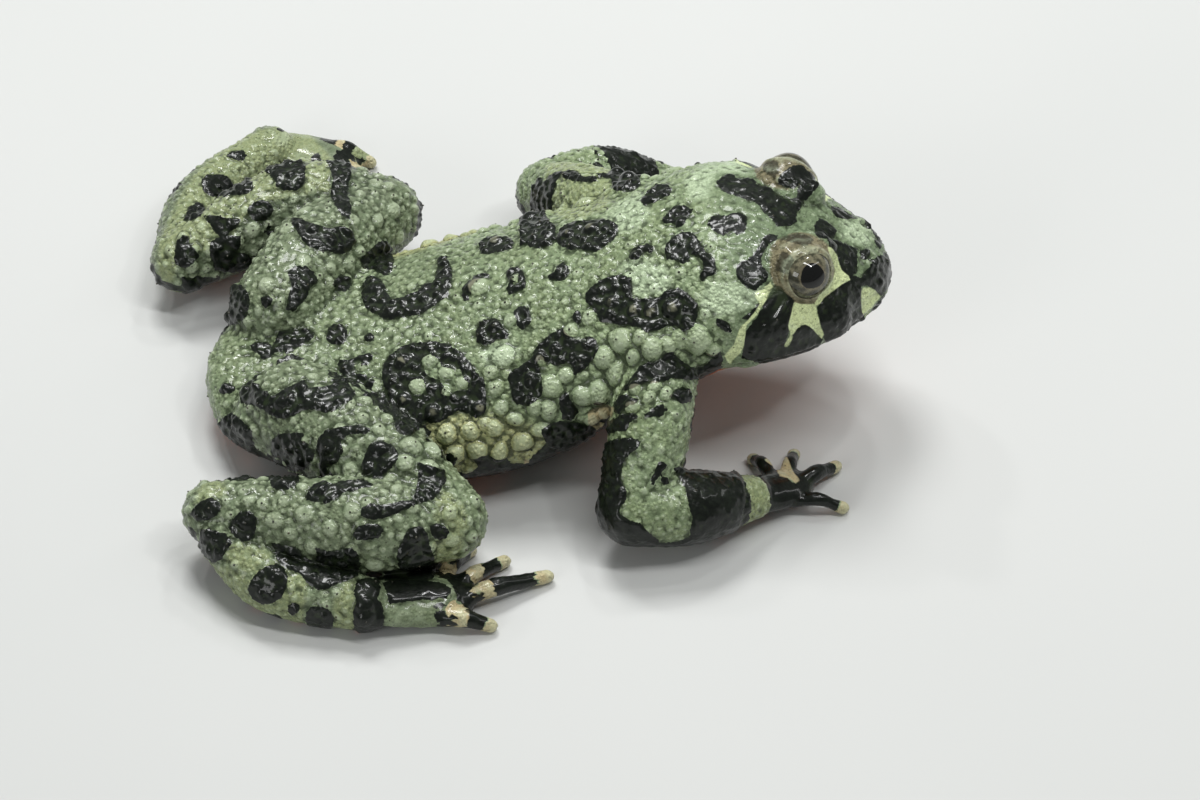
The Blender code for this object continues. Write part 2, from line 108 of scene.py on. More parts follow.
JOINTS = {
    "right": {
        "hip": (5.2, -4.6, 4.1), "thigh": (9.3, -9.0, 4.5), "knee": (13.7, -14.1, 3.7),
        "calf": (8.6, -14.25, 4.0), "heel": (-0.2, -11.9, 3.3), "tarsus": (2.8, -16.35, 1.85),
        "ankle": (8.3, -18.4, 1.45), "toe_root": (13.2, -17.75, 0.8),
        "shoulder": (27.2, -6.2, 8.2), "upper_arm": (26.5, -10.0, 6.6), "elbow": (25.2, -13.7, 3.3),
        "forearm": (28.8, -13.5, 2.9), "wrist": (32.5, -12.1, 1.9), "knuckles": (35.2, -10.5, 0.95),
    },
    "left": {
        "hip": (4.6, 4.6, 4.1), "thigh": (7.4, 9.0, 4.5), "knee": (11.4, 13.2, 3.9),
        "calf": (5.8, 14.2, 4.0), "heel": (-1.7, 10.9, 3.0), "tarsus": (-0.4, 17.1, 2.2),
        "ankle": (4.4, 22.2, 1.9), "toe_root": (8.4, 21.7, 0.9),
        "shoulder": (27.0, 6.2, 8.2), "upper_arm": (24.6, 10.0, 6.6), "elbow": (22.3, 14.4, 3.8),
        "forearm": (26.0, 16.0, 3.3), "wrist": (29.9, 16.6, 1.9), "knuckles": (32.9, 16.4, 0.95),
    },
}
LIMBS = {
    "thigh": (("hip", "thigh", "knee"), (3.3, 3.3, 2.5), 1.0),
    "shank": (("knee", "calf", "heel"), (2.5, 2.9, 2.0), 1.0),
    "tarsus": (("heel", "tarsus", "ankle"), (1.85, 1.9, 1.7), 1.0),
    "foot": (("ankle", "toe_root"), (1.7, 2.0), 0.55),
    "upper_arm": (("shoulder", "upper_arm", "elbow"), (2.6, 2.5, 2.15), 1.0),
    "forearm": (("elbow", "forearm", "wrist"), (2.25, 2.2, 1.4), 1.0),
    "hand": (("wrist", "knuckles"), (1.3, 1.45), 0.65),
}
# One row for each toe or finger, inner first: length, angle outward from the foot's line, half width
TOES = ((3.4, -62, 0.46), (4.2, -46, 0.5), (5.0, -30, 0.55), (7.2, -12, 0.6), (3.4, 16, 0.62))
FINGERS = ((2.6, -80, 0.5), (3.2, -42, 0.5), (3.9, -8, 0.55), (3.0, 36, 0.46))
# How far the toes turn in from the foot's line, in degrees
TOE_TUCK = {"right": 0, "left": 30}
# Between neighbouring roots, at the middle knuckle, and at the tip
TOE_SPACING = 0.8
FINGER_SPACING = 0.75
KNUCKLE_RISE = 0.25
TIP_HEIGHT = 0.42
TIP_HALF_WIDTH = 0.47

# Size of the cubes that the skin is fused from, and how many triangles it is thinned to
VOXEL = 0.13
SKIN_TRIANGLES = 196000


def smooth_rows(rows, count):
    """Catmull-Rom curve through the rows, read at count even steps of the row number."""
    rows = np.asarray(rows, float)
    ends = np.vstack([2 * rows[0] - rows[1], rows, 2 * rows[-1] - rows[-2]])
    steps = np.linspace(0, len(rows) - 1, count)
    index = np.minimum(steps.astype(int), len(rows) - 2)
    part = (steps - index)[:, None]
    before, start, end, after = (ends[index + shift] for shift in range(4))
    return start + 0.5 * part * (
        end - before
        + part * (2 * before - 5 * start + 4 * end - after + part * (3 * (start - end) + after - before))
    )


def full_turn(sides):
    """Angles of a full turn in even steps, without the last one, which is the first again."""
    return np.linspace(0, 2 * math.pi, sides, endpoint=False)


def unit(ways):
    """The ways scaled to a length of 1."""
    return ways / np.linalg.norm(ways, axis=-1, keepdims=True)


def distance(points, place):
    """How far each point lies from a place."""
    return np.linalg.norm(points - place, axis=1)


def bell(value, width):
    """exp(-(value / width)^2): 1 at a value of 0, falling off on both sides."""
    return np.exp(-(value / width) ** 2)


def ease(value, start, end):
    """0 at start, 1 at end, with a smooth step between."""
    part = np.clip((value - start) / (end - start), 0, 1)
    return part * part * (3 - 2 * part)


def tube_quads(rings, sides):
    """Faces of a closed tube of rings; its two ends are closed by polygons."""
    ring, side = np.meshgrid(np.arange(rings - 1), np.arange(sides), indexing="ij")
    after = (side + 1) % sides
    quads = np.stack([
        ring * sides + side, ring * sides + after, (ring + 1) * sides + after, (ring + 1) * sides + side,
    ], axis=-1).reshape(-1, 4)
    last = (rings - 1) * sides
    ends = [list(range(sides))[::-1], list(range(last, last + sides))]
    return quads.tolist() + ends


def body_form():
    """Squared oval at each station: y = w cos^q(a), z = middle + height sin^q(a)."""
    rings, sides = 130, 96
    x, width, top, under, middle, square = smooth_rows(BODY_STATIONS, rings + 2)[1:-1].T[:, :, None]
    turn = full_turn(sides)
    power = np.where(np.sin(turn) > 0, square, UNDER_SQUARE)
    across = np.sign(np.cos(turn)) * np.abs(np.cos(turn)) ** power
    upward = np.sign(np.sin(turn)) * np.abs(np.sin(turn)) ** power
    height = np.where(upward > 0, top - middle, middle - under)
    points = np.stack([x + 0 * turn, width * across, middle + height * upward], axis=-1)
    return points.reshape(-1, 3), tube_quads(rings, sides)


def tube_form(places, half_widths, thickness=1.0, rings=40, sides=28):
    """Round or flattened tube carried along a smooth line, with half-ball ends.

    Each ring is the line's place plus its radius times (cos(a) sideways + sin(a) thickness upward).
    """
    cap = 7
    rows = smooth_rows(np.column_stack([places, half_widths]), rings)
    line, radius = rows[:, :3], rows[:, 3]
    along = unit(np.gradient(line, axis=0))
    bend = np.linspace(0, 0.98 * math.pi / 2, cap + 1)[1:, None]
    centres = np.vstack([
        line[0] - along[0] * radius[0] * np.sin(bend[::-1]), line,
        line[-1] + along[-1] * radius[-1] * np.sin(bend),
    ])
    radii = np.concatenate([radius[0] * np.cos(bend[::-1, 0]), radius, radius[-1] * np.cos(bend[:, 0])])
    ways = np.vstack([np.repeat(along[:1], cap, 0), along, np.repeat(along[-1:], cap, 0)])
    sideways = unit(np.cross(ways, (0, 0, 1)))
    rise = np.cross(sideways, ways) * thickness
    turn = full_turn(sides)[:, None]
    rings_round = sideways[:, None] * np.cos(turn) + rise[:, None] * np.sin(turn)
    points = centres[:, None] + radii[:, None, None] * rings_round
    return points.reshape(-1, 3), tube_quads(len(centres), sides)


def ball_ways(rings, sides, pole):
    """Angle from the pole, angle round it, and the way (sin f cos t, sin f sin t, cos f) of a ball's grid."""
    fall = np.linspace(pole, math.pi - pole, rings)[:, None]
    turn = full_turn(sides)
    ways = np.sin(fall) * np.cos(turn), np.sin(fall) * np.sin(turn), np.cos(fall) + 0 * turn
    return fall, turn, np.stack(ways, axis=-1)


def ball_form(centre, radii):
    """Ellipsoid as a latitude and longitude grid."""
    rings, sides = 40, 56
    *_, points = ball_ways(rings, sides, 0.02)
    return (points * radii + np.asarray(centre)).reshape(-1, 3), tube_quads(rings, sides)


def outward_sign(side):
    """-1 on the toad's right, +1 on its left."""
    return -1 if side == "right" else 1


def on_side(place, side):
    """A place of the toad's left side, or its mirror on the right."""
    return np.array(place) * (1, outward_sign(side), 1)


def digits(side, piece):
    """Root, middle and tip places of the toes or fingers, with their half widths."""
    start, root = (np.array(JOINTS[side][place]) for place in LIMBS[piece][0])
    table, spacing = (TOES, TOE_SPACING) if piece == "foot" else (FINGERS, FINGER_SPACING)
    heading = math.atan2(root[1] - start[1], root[0] - start[0])
    forward = np.array((math.cos(heading), math.sin(heading), 0))
    across = np.array((-math.sin(heading), math.cos(heading), 0)) * outward_sign(side)
    found = []
    tuck = TOE_TUCK[side] if piece == "foot" else 0
    for number, (length, angle, half_width) in enumerate(table):
        turned = math.radians(angle - tuck)
        way = forward * math.cos(turned) + across * math.sin(turned)
        sideways = number - (len(table) - 1) / 2
        base = root + across * sideways * spacing - forward * abs(sideways) * spacing / 2
        base[2] = root[2]
        middle = base + way * length / 2 + (0, 0, KNUCKLE_RISE)
        tip = base + way * length
        tip[2] = TIP_HEIGHT
        found.append((base - way * spacing, middle, tip, half_width))
    return found


def digit_form(base, middle, tip, half_width):
    """Toe: thin tube with a knuckle at its middle and a rounded pad at its tip."""
    steps = (base, (base + middle) / 2, middle, (middle + tip) / 2, tip)
    widths = (half_width, half_width * 0.88, half_width * 1.02, half_width * 0.82, TIP_HALF_WIDTH)
    return tube_form(steps, widths, rings=30, sides=20)


def eye_places(side):
    """Middle of one eye's bulge, middle of its ball, and the way the eye looks."""
    level = math.cos(EYE_RAISED)
    way = on_side((math.sin(EYE_FORWARD) * level, math.cos(EYE_FORWARD) * level, math.sin(EYE_RAISED)), side)
    bulge = on_side(EYE_PLACE, side)
    return bulge, bulge + way * EYE_PROUD, way


def upward_of(way):
    """The way nearest to straight up that is square to the given one."""
    return unit(np.array((0, 0, 1.0)) - way * way[2])


def to_model(points):
    """From the toad's frame in millimetres to the model's frame in metres."""
    return (np.asarray(points) + frame_shift) * MM


low, high = (np.array(corner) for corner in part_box("eye_right"))
frame_shift = (low + high) / 2 / MM - eye_places("right")[1]


class Camera:
    """The photo's view: its place and ways in the toad's frame, and where it puts a point."""

    pixels_per_mm = 16.0
    distance = 300.0
    heading, tilt = math.radians(5.0), math.radians(45.0)
    right = np.array((math.cos(heading), -math.sin(heading), 0))
    ahead = np.array((
        math.sin(heading) * math.cos(tilt), math.cos(heading) * math.cos(tilt), -math.sin(tilt),
    ))
    up = np.cross(right, ahead)
    aim = np.array((24.02, -3.15, 2.22))
    place = aim - distance * ahead
    middle = np.array(PHOTO_SIZE) / 2

    @classmethod
    def project(cls, points):
        """Pixel places of points, in the whole photo's own pixels."""
        away = np.asarray(points) - cls.aim
        scale = cls.pixels_per_mm * cls.distance / (cls.distance + away @ cls.ahead)
        return cls.middle + np.stack([away @ cls.right * scale, -(away @ cls.up) * scale], axis=-1)


def mesh_from(name, points, faces, smooth=True):
    """Mesh in the model's frame from points in the toad's frame."""
    mesh = bpy.data.meshes.new(name)
    mesh.from_pydata(to_model(points).tolist(), [], faces)
    if smooth:
        mesh.shade_smooth()
    return mesh


def add_piece(name, mesh):
    """Object at the origin that rides with the toad."""
    piece = bpy.data.objects.new(name, mesh)
    bpy.context.scene.collection.objects.link(piece)
    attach(piece, "root")
    return piece


def evaluated(mesh, kind, **settings):
    """The mesh after one modifier of that type, with its settings."""
    holder = bpy.data.objects.new("holder", mesh)
    bpy.context.scene.collection.objects.link(holder)
    step = holder.modifiers.new(kind, kind)
    for name, value in settings.items():
        setattr(step, name, value)
    view = bpy.context.evaluated_depsgraph_get()
    result = bpy.data.meshes.new_from_object(holder.evaluated_get(view))
    bpy.data.objects.remove(holder)
    return result


def joined(forms):
    """Several closed shapes as one list of points and faces."""
    points, faces, start = [], [], 0
    for form_points, form_faces in forms:
        points.append(form_points)
        faces += [[start + corner for corner in face] for face in form_faces]
        start += len(form_points)
    return np.vstack(points), faces


# Swellings of muscle and bone under the skin, one on each side: middle, and half sizes along X, Y, Z
SWELLINGS = {
    "shoulder": ((27.3, 6.0, 8.7), (3.1, 2.3, 3.0)),
    "jaw": ((32.2, 6.2, 10.0), (2.7, 1.6, 2.1)),
    "cheek": ((36.8, 4.7, 10.0), (2.6, 1.5, 1.9)),
    "snout": ((39.3, 1.6, 10.95), (1.9, 1.1, 1.0)),
    "brow": ((36.4, 2.6, 13.4), (2.2, 1.4, 1.2)),
    "hip": ((4.8, 4.4, 3.9), (3.6, 2.9, 2.1)),
}


def flesh_forms():
    """Every closed shape that is fused into the skin."""
    forms = [body_form()]
    for side in JOINTS:
        forms.append(ball_form(eye_places(side)[0], (EYE_BULGE,) * 3))
        forms += [ball_form(on_side(middle, side), sizes) for middle, sizes in SWELLINGS.values()]
        for piece, (places, widths, thickness) in LIMBS.items():
            places = [JOINTS[side][place] for place in places]
            if piece in ("foot", "hand"):
                places = [places[0], (np.array(places[0]) + places[1]) / 2, places[1]]
                widths = (widths[0], max(widths), widths[1])
            forms.append(tube_form(places, widths, thickness))
        forms += [digit_form(*digit) for piece in ("foot", "hand") for digit in digits(side, piece)]
    return forms


class Skin:
    """The skin's mesh, read and written as arrays of points in the toad's frame."""

    def __init__(self, mesh):
        self.mesh = mesh
        self.edges = np.empty(2 * len(mesh.edges), int)
        mesh.edges.foreach_get("vertices", self.edges)
        self.edges = self.edges.reshape(-1, 2)
        count = len(mesh.vertices)
        self.links = np.maximum(np.bincount(self.edges.ravel(), minlength=count), 1)[:, None]

    @property
    def points(self):
        """Places of the vertices, in the toad's frame."""
        values = np.empty(3 * len(self.mesh.vertices))
        self.mesh.vertices.foreach_get("co", values)
        return values.reshape(-1, 3) / MM - frame_shift

    @points.setter
    def points(self, values):
        self.mesh.vertices.foreach_set("co", to_model(values).ravel())
        self.mesh.update()

    @property
    def normals(self):
        """The way out of the skin at each vertex."""
        values = np.empty(3 * len(self.mesh.vertices))
        self.mesh.vertex_normals.foreach_get("vector", values)
        return values.reshape(-1, 3)

    def averaged(self, values, rounds):
        """Each vertex's values mixed half and half with its neighbours' mean, a number of times."""
        first, second = self.edges.T
        count = len(self.mesh.vertices)
        for _ in range(rounds):
            sums = np.stack([
                np.bincount(first, column[second], count) + np.bincount(second, column[first], count)
                for column in values.T
            ], axis=-1)
            values = (values + sums / self.links) / 2
        return values

    def soft_normals(self, rounds):
        """Normals of the form under the warts, averaged a number of times."""
        return unit(self.averaged(self.normals, rounds))

    def keep(self, name, values):
        """Stores one number for each vertex, for the materials."""
        stored = self.mesh.attributes.new(name, "FLOAT", "POINT")
        stored.data.foreach_set("value", np.asarray(values, float))


def noise_field(points, size, seed):
    """Smooth random values from -1 to 1: a sum of sine waves in many directions, of that wave length."""
    waves = 14
    chance = np.random.default_rng(seed)
    ways = chance.normal(size=(waves, 3))
    turns = (2 * math.pi / size) * chance.uniform(0.7, 1.4, (waves, 1))
    ways *= turns / np.linalg.norm(ways, axis=1)[:, None]
    return np.sin(points @ ways.T + chance.uniform(0, 2 * math.pi, waves)).sum(axis=1) / 4


def limb_reach(points, side, piece):
    """Height over one limb piece's surface, and how far along it, from 0 to 1."""
    count = 16
    places, widths, _ = LIMBS[piece]
    line = smooth_rows(np.column_stack([[JOINTS[side][place] for place in places], widths]), count)
    gaps = np.stack([distance(points, row[:3]) - row[3] for row in line], axis=1)
    nearest = gaps.argmin(axis=1)
    return gaps[np.arange(len(points)), nearest], nearest / (count - 1)


def body_reach(points):
    """Height over the torso's and head's surface, by the oval of each station."""
    rows = smooth_rows(BODY_STATIONS, 80)
    width, top, under, middle = (np.interp(points[:, 0], rows[:, 0], rows[:, row]) for row in range(1, 5))
    height = np.where(points[:, 2] > middle, top - middle, middle - under)
    share = np.hypot(points[:, 1] / np.maximum(width, 0.5), (points[:, 2] - middle) / np.maximum(height, 0.5))
    beyond = np.maximum(rows[0, 0] - points[:, 0], points[:, 0] - rows[-1, 0])
    return np.maximum((share - 1) * np.minimum(width, height), beyond)


def open_eye(skin, side):
    """Lids: near the eyeball a point's distance from its middle follows its angle from the look.

    Inside the opening the skin sinks behind the ball, at the edge it stands up as a rim, and beyond
    the rim it keeps the bulge's own form, sooner below than above, so that the cheek stays full. The
    lid comes further over the ball above and behind.
    """
    _, middle, way = eye_places(side)
    points = skin.points
    away = points - middle
    reach = np.linalg.norm(away, axis=1)
    near = reach < 2.0 * EYE_BALL
    away, reach = away[near], reach[near, None]
    ways = away / reach
    upward = upward_of(way)
    angle = np.degrees(np.arccos(np.clip(ways @ way, -1, 1)))
    forward = -outward_sign(side) * np.cross(upward, way)
    roll = np.arctan2(ways @ upward, ways @ forward)
    rise, onward = np.sin(roll), np.cos(roll)
    edge = LID_OPENING + LID_LONGER * onward ** 2
    edge = edge - LID_OVER_TOP * np.maximum(rise, 0) ** 2 - LID_OVER_BACK * np.maximum(-onward, 0) ** 2
    past = angle - edge
    rim = EYE_BALL + LID_RIM + LID_THICKNESS * ease(past, 0, 12)
    sunk = EYE_BALL - LID_DEPTH
    lid = sunk + (rim - sunk) * ease(past, *LID_WALL)
    below = ease(-rise, 0.2, 0.8)
    blend = 1 - ease(past, *(above - sooner * below for above, sooner in LID_BLEND))
    full = lid * (past < LID_FULL)
    shaped = np.where(past > 0, np.maximum(reach[:, 0] * (1 - blend) + lid * blend, full), lid)
    points[near] = middle + ways * shaped[:, None]
    skin.points = points


def cut_mouth(skin):
    """Line of the mouth as a narrow groove with lips: bells of the height over the mouth's line."""
    points, ways = skin.points, skin.soft_normals(4)
    height = points[:, 2] - np.interp(points[:, 0], MOUTH_REACH, MOUTH_HEIGHT)
    share = ease(points[:, 0], MOUTH_REACH[0] - 0.3, MOUTH_REACH[0] + 0.8)
    groove = 0.3 * bell(height, 0.17)
    upper, lower = 0.16 * bell(height - 0.5, 0.35), 0.1 * bell(height + 0.45, 0.3)
    skin.points = points + ways * (share * (upper + lower - groove))[:, None]


def pit_nostrils(skin):
    """Two small pits with a raised rim: a bell up at the rim's distance, less a deeper one at the middle."""
    points, ways = skin.points, skin.soft_normals(4)
    for side in JOINTS:
        nearest = distance(points, on_side(NOSTRIL_PLACE, side)).argmin()
        gap = distance(points, points[nearest])
        height = 0.14 * bell(gap - 0.5, 0.22) - 0.42 * bell(gap, 0.24)
        points += ways * np.where(gap < 1.2, height, 0)[:, None]
    skin.points = points


# Patches read from the photo: each is an outline, its corners' pixel places one after the other.
# The black blotches, from the head to the arms, and one painted shadow behind the near thigh:
BLACK = (
    # Crown and the far eye
    (716, 182, 722, 177, 731, 173, 738, 178, 752, 178, 757, 184, 768, 187, 778, 194, 786, 199, 800, 198,
     805, 200, 800, 208, 796, 216, 796, 222, 790, 226, 778, 226, 773, 220, 764, 213, 761, 207, 752, 201,
     740, 197, 728, 193, 720, 188),
    (778, 180, 783, 172, 792, 166, 801, 165, 808, 170, 815, 177, 818, 185, 813, 192, 806, 200, 797, 199,
     798, 190, 800, 184, 794, 188, 785, 187, 779, 184),
    (708, 224, 712, 217, 719, 214, 725, 216, 731, 213, 739, 213, 747, 217, 745, 231, 738, 235, 731, 230,
     724, 236, 716, 233),
    (641, 200, 648, 190, 656, 184, 668, 184, 674, 190, 668, 196, 652, 203, 644, 206),
    (662, 220, 668, 212, 674, 206, 686, 206, 693, 210, 688, 218, 681, 228, 676, 227, 672, 221, 665, 224),
    (664, 250, 667, 242, 674, 236, 682, 232, 690, 232, 697, 238, 703, 246, 706, 252, 712, 256, 716, 268,
     714, 274, 706, 278, 702, 282, 700, 276, 704, 268, 702, 260, 696, 256, 690, 254, 690, 260, 682, 264,
     674, 260, 666, 260),
    (627, 257, 632, 250, 638, 247, 648, 242, 653, 248, 651, 254, 646, 252, 641, 256, 638, 260, 630, 260),
    # Round the near eye and over the snout
    (764, 236, 772, 233, 780, 236, 776, 241, 768, 243, 766, 249, 762, 255, 760, 262, 764, 268, 768, 275,
     766, 283, 758, 290, 750, 289, 742, 283, 737, 275, 736, 266, 741, 261, 750, 259, 756, 252, 760, 245),
    (815, 225, 819, 218, 826, 216, 834, 217, 839, 222, 838, 230, 834, 236, 827, 238, 818, 237, 815, 232),
    (830, 206, 838, 208, 848, 213, 858, 219, 846, 219, 836, 216),
    (828, 240, 836, 240, 843, 243, 851, 245, 858, 249, 858, 258, 856, 264, 857, 270, 852, 276, 846, 279,
     841, 270, 837, 262, 834, 254, 830, 247),
    (860, 252, 866, 248, 870, 251, 868, 258, 862, 260),
    (874, 240, 878, 240, 883, 246, 880, 249, 876, 246),
    (882, 255, 886, 258, 889, 265, 892, 275, 888, 287, 881, 296, 876, 291, 868, 286, 862, 284, 862, 278,
     866, 270, 871, 264, 877, 257),
    # Cheek, lips and chin
    (848, 279, 856, 276, 863, 280, 861, 290, 862, 302, 862, 312, 866, 319, 872, 312, 876, 304, 884, 296,
     888, 300, 880, 316, 866, 332, 850, 342, 836, 350, 820, 356, 826, 344, 823, 330, 820, 318, 816, 307,
     822, 298, 832, 290, 840, 284),
    (770, 291, 776, 289, 784, 291, 790, 297, 794, 301, 793, 308, 792, 318, 790, 328, 786, 340, 788, 350,
     806, 348, 820, 346, 818, 360, 790, 366, 762, 364, 742, 358, 744, 346, 744, 336, 750, 326, 758, 318,
     762, 308, 766, 298),
    (792, 336, 797, 328, 804, 324, 811, 325, 818, 332, 823, 338, 820, 348, 806, 352, 788, 352, 786, 344),
    (740, 318, 748, 313, 754, 308, 760, 302, 763, 302, 758, 311, 751, 318, 744, 321),
    (716, 319, 724, 321, 730, 326, 731, 332, 726, 331, 718, 325),
    # Back
    (560, 228, 568, 223, 576, 221, 590, 221, 602, 219, 612, 221, 618, 226, 616, 236, 612, 242, 604, 246,
     596, 252, 588, 252, 580, 250, 570, 250, 562, 247, 556, 240),
    (526, 240, 532, 236, 544, 234, 552, 236, 556, 240, 548, 246, 538, 248, 528, 247),
    (478, 244, 484, 238, 494, 235, 506, 236, 514, 240, 512, 248, 502, 252, 490, 254, 482, 254),
    (361, 298, 362, 284, 368, 276, 376, 276, 384, 284, 386, 292, 392, 298, 402, 297, 410, 294, 418, 290,
     424, 284, 432, 282, 436, 276, 438, 266, 437, 258, 440, 255, 447, 256, 450, 264, 452, 276, 450, 288,
     448, 296, 440, 302, 432, 308, 422, 314, 410, 316, 398, 318, 386, 320, 376, 314, 366, 308),
    (462, 296, 463, 288, 468, 281, 474, 276, 481, 273, 488, 274, 490, 277, 482, 278, 475, 281, 471, 287,
     470, 296, 468, 302, 464, 301),
    (505, 273, 510, 268, 519, 267, 523, 272, 526, 281, 525, 289, 518, 292, 510, 295, 506, 289, 509, 281),
    (556, 266, 563, 262, 569, 267, 569, 273, 563, 280, 551, 280, 548, 277, 555, 272),
    (476, 332, 480, 322, 486, 319, 494, 318, 499, 320, 503, 326, 508, 334, 506, 339, 498, 339, 492, 344,
     484, 346, 477, 342),
    (513, 312, 517, 307, 523, 305, 529, 309, 531, 318, 529, 326, 523, 331, 517, 327, 516, 320),
    (385, 362, 390, 354, 400, 347, 410, 343, 424, 342, 438, 341, 450, 345, 462, 352, 470, 362, 476, 372,
     484, 380, 486, 392, 486, 404, 484, 414, 476, 418, 468, 414, 458, 410, 450, 416, 446, 420, 436, 424,
     424, 422, 418, 430, 410, 436, 400, 434, 394, 424, 392, 412, 390, 400, 388, 392, 383, 384, 381, 372),
    (511, 390, 508, 378, 514, 370, 522, 364, 530, 360, 534, 350, 542, 342, 550, 334, 558, 330, 562, 327,
     566, 334, 572, 338, 580, 340, 588, 336, 594, 340, 598, 350, 594, 358, 588, 366, 580, 372, 574, 376,
     572, 366, 566, 362, 556, 366, 548, 362, 541, 358, 536, 362, 540, 370, 541, 380, 544, 390, 542, 396,
     534, 402, 526, 406, 516, 404, 512, 398),
    (572, 316, 576, 310, 580, 312, 582, 322, 578, 325, 573, 322),
    (560, 398, 566, 392, 572, 402, 578, 412, 574, 420, 562, 420, 560, 408),
    (586, 294, 592, 286, 600, 280, 612, 276, 624, 275, 631, 279, 632, 288, 631, 296, 636, 299, 642, 299,
     648, 298, 660, 298, 664, 292, 670, 289, 678, 288, 686, 292, 692, 298, 697, 304, 698, 312, 696, 322,
     690, 329, 684, 332, 676, 326, 668, 326, 658, 330, 648, 333, 640, 328, 630, 326, 622, 326, 612, 322,
     600, 322, 596, 314, 590, 306, 586, 302),
    (626, 384, 634, 374, 640, 366, 648, 362, 656, 362, 664, 354, 672, 352, 678, 358, 684, 362, 696, 368,
     704, 366, 712, 358, 720, 352, 724, 360, 716, 372, 704, 378, 690, 380, 676, 378, 660, 382, 644, 384,
     632, 388, 622, 392),
    (540, 430, 552, 422, 566, 420, 584, 424, 596, 432, 590, 446, 570, 452, 548, 446),
    # Rump
    (250, 346, 256, 342, 266, 342, 272, 346, 276, 340, 278, 332, 290, 330, 306, 328, 314, 332, 314, 338,
     306, 344, 296, 348, 286, 352, 278, 352, 270, 358, 262, 360, 258, 354, 252, 350),
    (326, 340, 327, 330, 333, 324, 342, 325, 348, 332, 346, 340, 340, 345, 333, 345),
    (364, 336, 370, 332, 375, 336, 373, 341, 366, 341),
    (337, 365, 340, 359, 348, 359, 354, 358, 362, 354, 370, 352, 374, 356, 371, 361, 366, 365, 360, 361,
     354, 362, 353, 369, 347, 373, 341, 371),
    (218, 392, 222, 384, 228, 383, 234, 388, 232, 393, 224, 394),
    (239, 394, 242, 388, 250, 383, 258, 384, 262, 390, 268, 390, 270, 396, 276, 394, 284, 388, 292, 385,
     300, 381, 306, 379, 308, 388, 324, 386, 334, 384, 330, 380, 336, 378, 344, 380, 350, 386, 356, 392,
     352, 400, 344, 404, 336, 410, 326, 412, 316, 410, 304, 410, 296, 414, 288, 418, 278, 418, 270, 414,
     260, 408, 250, 404, 240, 404),
    # Painted shadow: the dark gap behind the near thigh, against the rump
    (212, 430, 230, 412, 242, 420, 252, 432, 254, 446, 262, 456, 272, 460, 272, 468, 256, 470, 248, 482,
     236, 490, 224, 484, 216, 460),
    # Near hind leg
    (272, 440, 280, 434, 288, 433, 298, 432, 305, 434, 302, 440, 310, 446, 314, 452, 312, 460, 306, 468,
     298, 472, 290, 470, 284, 462, 276, 458, 270, 452),
    (270, 476, 276, 470, 286, 470, 296, 472, 300, 478, 296, 486, 286, 490, 276, 490, 270, 485),
    (318, 440, 325, 430, 335, 428, 345, 426, 356, 425, 365, 426, 372, 430, 366, 434, 352, 434, 342, 440,
     343, 452, 338, 462, 330, 465, 322, 462, 317, 452),
    (366, 452, 371, 444, 380, 441, 390, 443, 396, 449, 400, 455, 396, 464, 388, 470, 382, 478, 372, 478,
     362, 474, 361, 465, 364, 458),
    (306, 500, 307, 492, 314, 484, 324, 481, 334, 483, 344, 480, 356, 480, 360, 478, 372, 484, 371, 488,
     362, 488, 352, 492, 344, 492, 338, 498, 328, 503, 314, 502),
    (189, 514, 195, 506, 204, 499, 213, 497, 220, 502, 220, 510, 216, 516, 208, 521, 196, 521),
    (229, 528, 233, 518, 240, 512, 250, 511, 256, 518, 256, 530, 254, 538, 244, 543, 236, 538),
    (200, 530, 208, 528, 218, 532, 226, 534, 232, 542, 226, 550, 222, 560, 212, 563, 204, 556, 199, 545),
    (247, 590, 250, 580, 258, 572, 266, 566, 276, 564, 284, 568, 288, 577, 286, 588, 280, 598, 272, 604,
     262, 604, 253, 600),
    (288, 606, 293, 602, 299, 605, 299, 612, 293, 616, 288, 613),
    (306, 612, 311, 607, 320, 606, 329, 610, 334, 618, 333, 627, 326, 634, 316, 634, 308, 628, 305, 620),
    (272, 543, 285, 545, 296, 548, 303, 556, 312, 562, 318, 556, 316, 548, 326, 552, 338, 550, 352, 548,
     358, 556, 360, 566, 358, 576, 350, 580, 340, 582, 330, 588, 318, 590, 308, 584, 300, 574, 290, 570,
     282, 566, 276, 560),
    (357, 580, 366, 578, 378, 578, 381, 588, 378, 598, 382, 606, 384, 618, 381, 630, 377, 642, 366, 644,
     358, 634, 354, 624, 353, 612, 356, 602, 353, 592),
    (418, 462, 430, 466, 444, 470, 446, 480, 440, 492, 432, 500, 420, 503, 412, 506, 400, 512, 385, 518,
     372, 520, 360, 516, 362, 508, 372, 504, 384, 506, 395, 502, 405, 500, 412, 500, 416, 490, 418, 478),
    (352, 534, 358, 526, 368, 524, 378, 524, 384, 530, 378, 538, 366, 540, 356, 540),
    (404, 536, 410, 528, 420, 526, 428, 534, 430, 546, 434, 556, 436, 568, 434, 578, 424, 582, 412, 580,
     402, 572, 396, 562, 398, 550, 402, 543),
    (430, 526, 438, 524, 446, 526, 450, 532, 446, 538, 438, 540, 432, 536),
    (383, 582, 400, 580, 440, 581, 452, 586, 458, 592, 450, 598, 436, 600, 420, 600, 404, 602, 390, 604),
    # Far hind leg
    (201, 180, 208, 172, 220, 169, 232, 171, 244, 177, 252, 182, 253, 190, 246, 194, 234, 195, 222, 197,
     210, 196, 204, 190),
    (225, 156, 232, 152, 243, 151, 246, 155, 244, 160, 236, 161),
    (258, 160, 264, 153, 274, 150, 286, 151, 296, 156, 304, 162, 306, 172, 304, 184, 296, 191, 284, 190,
     276, 186, 273, 178, 266, 172),
    (296, 136, 302, 130, 312, 130, 322, 136, 332, 142, 342, 146, 350, 156, 352, 170, 350, 182, 348, 196,
     352, 208, 350, 220, 342, 216, 336, 206, 330, 196, 332, 186, 332, 172, 326, 160, 316, 156, 304, 156),
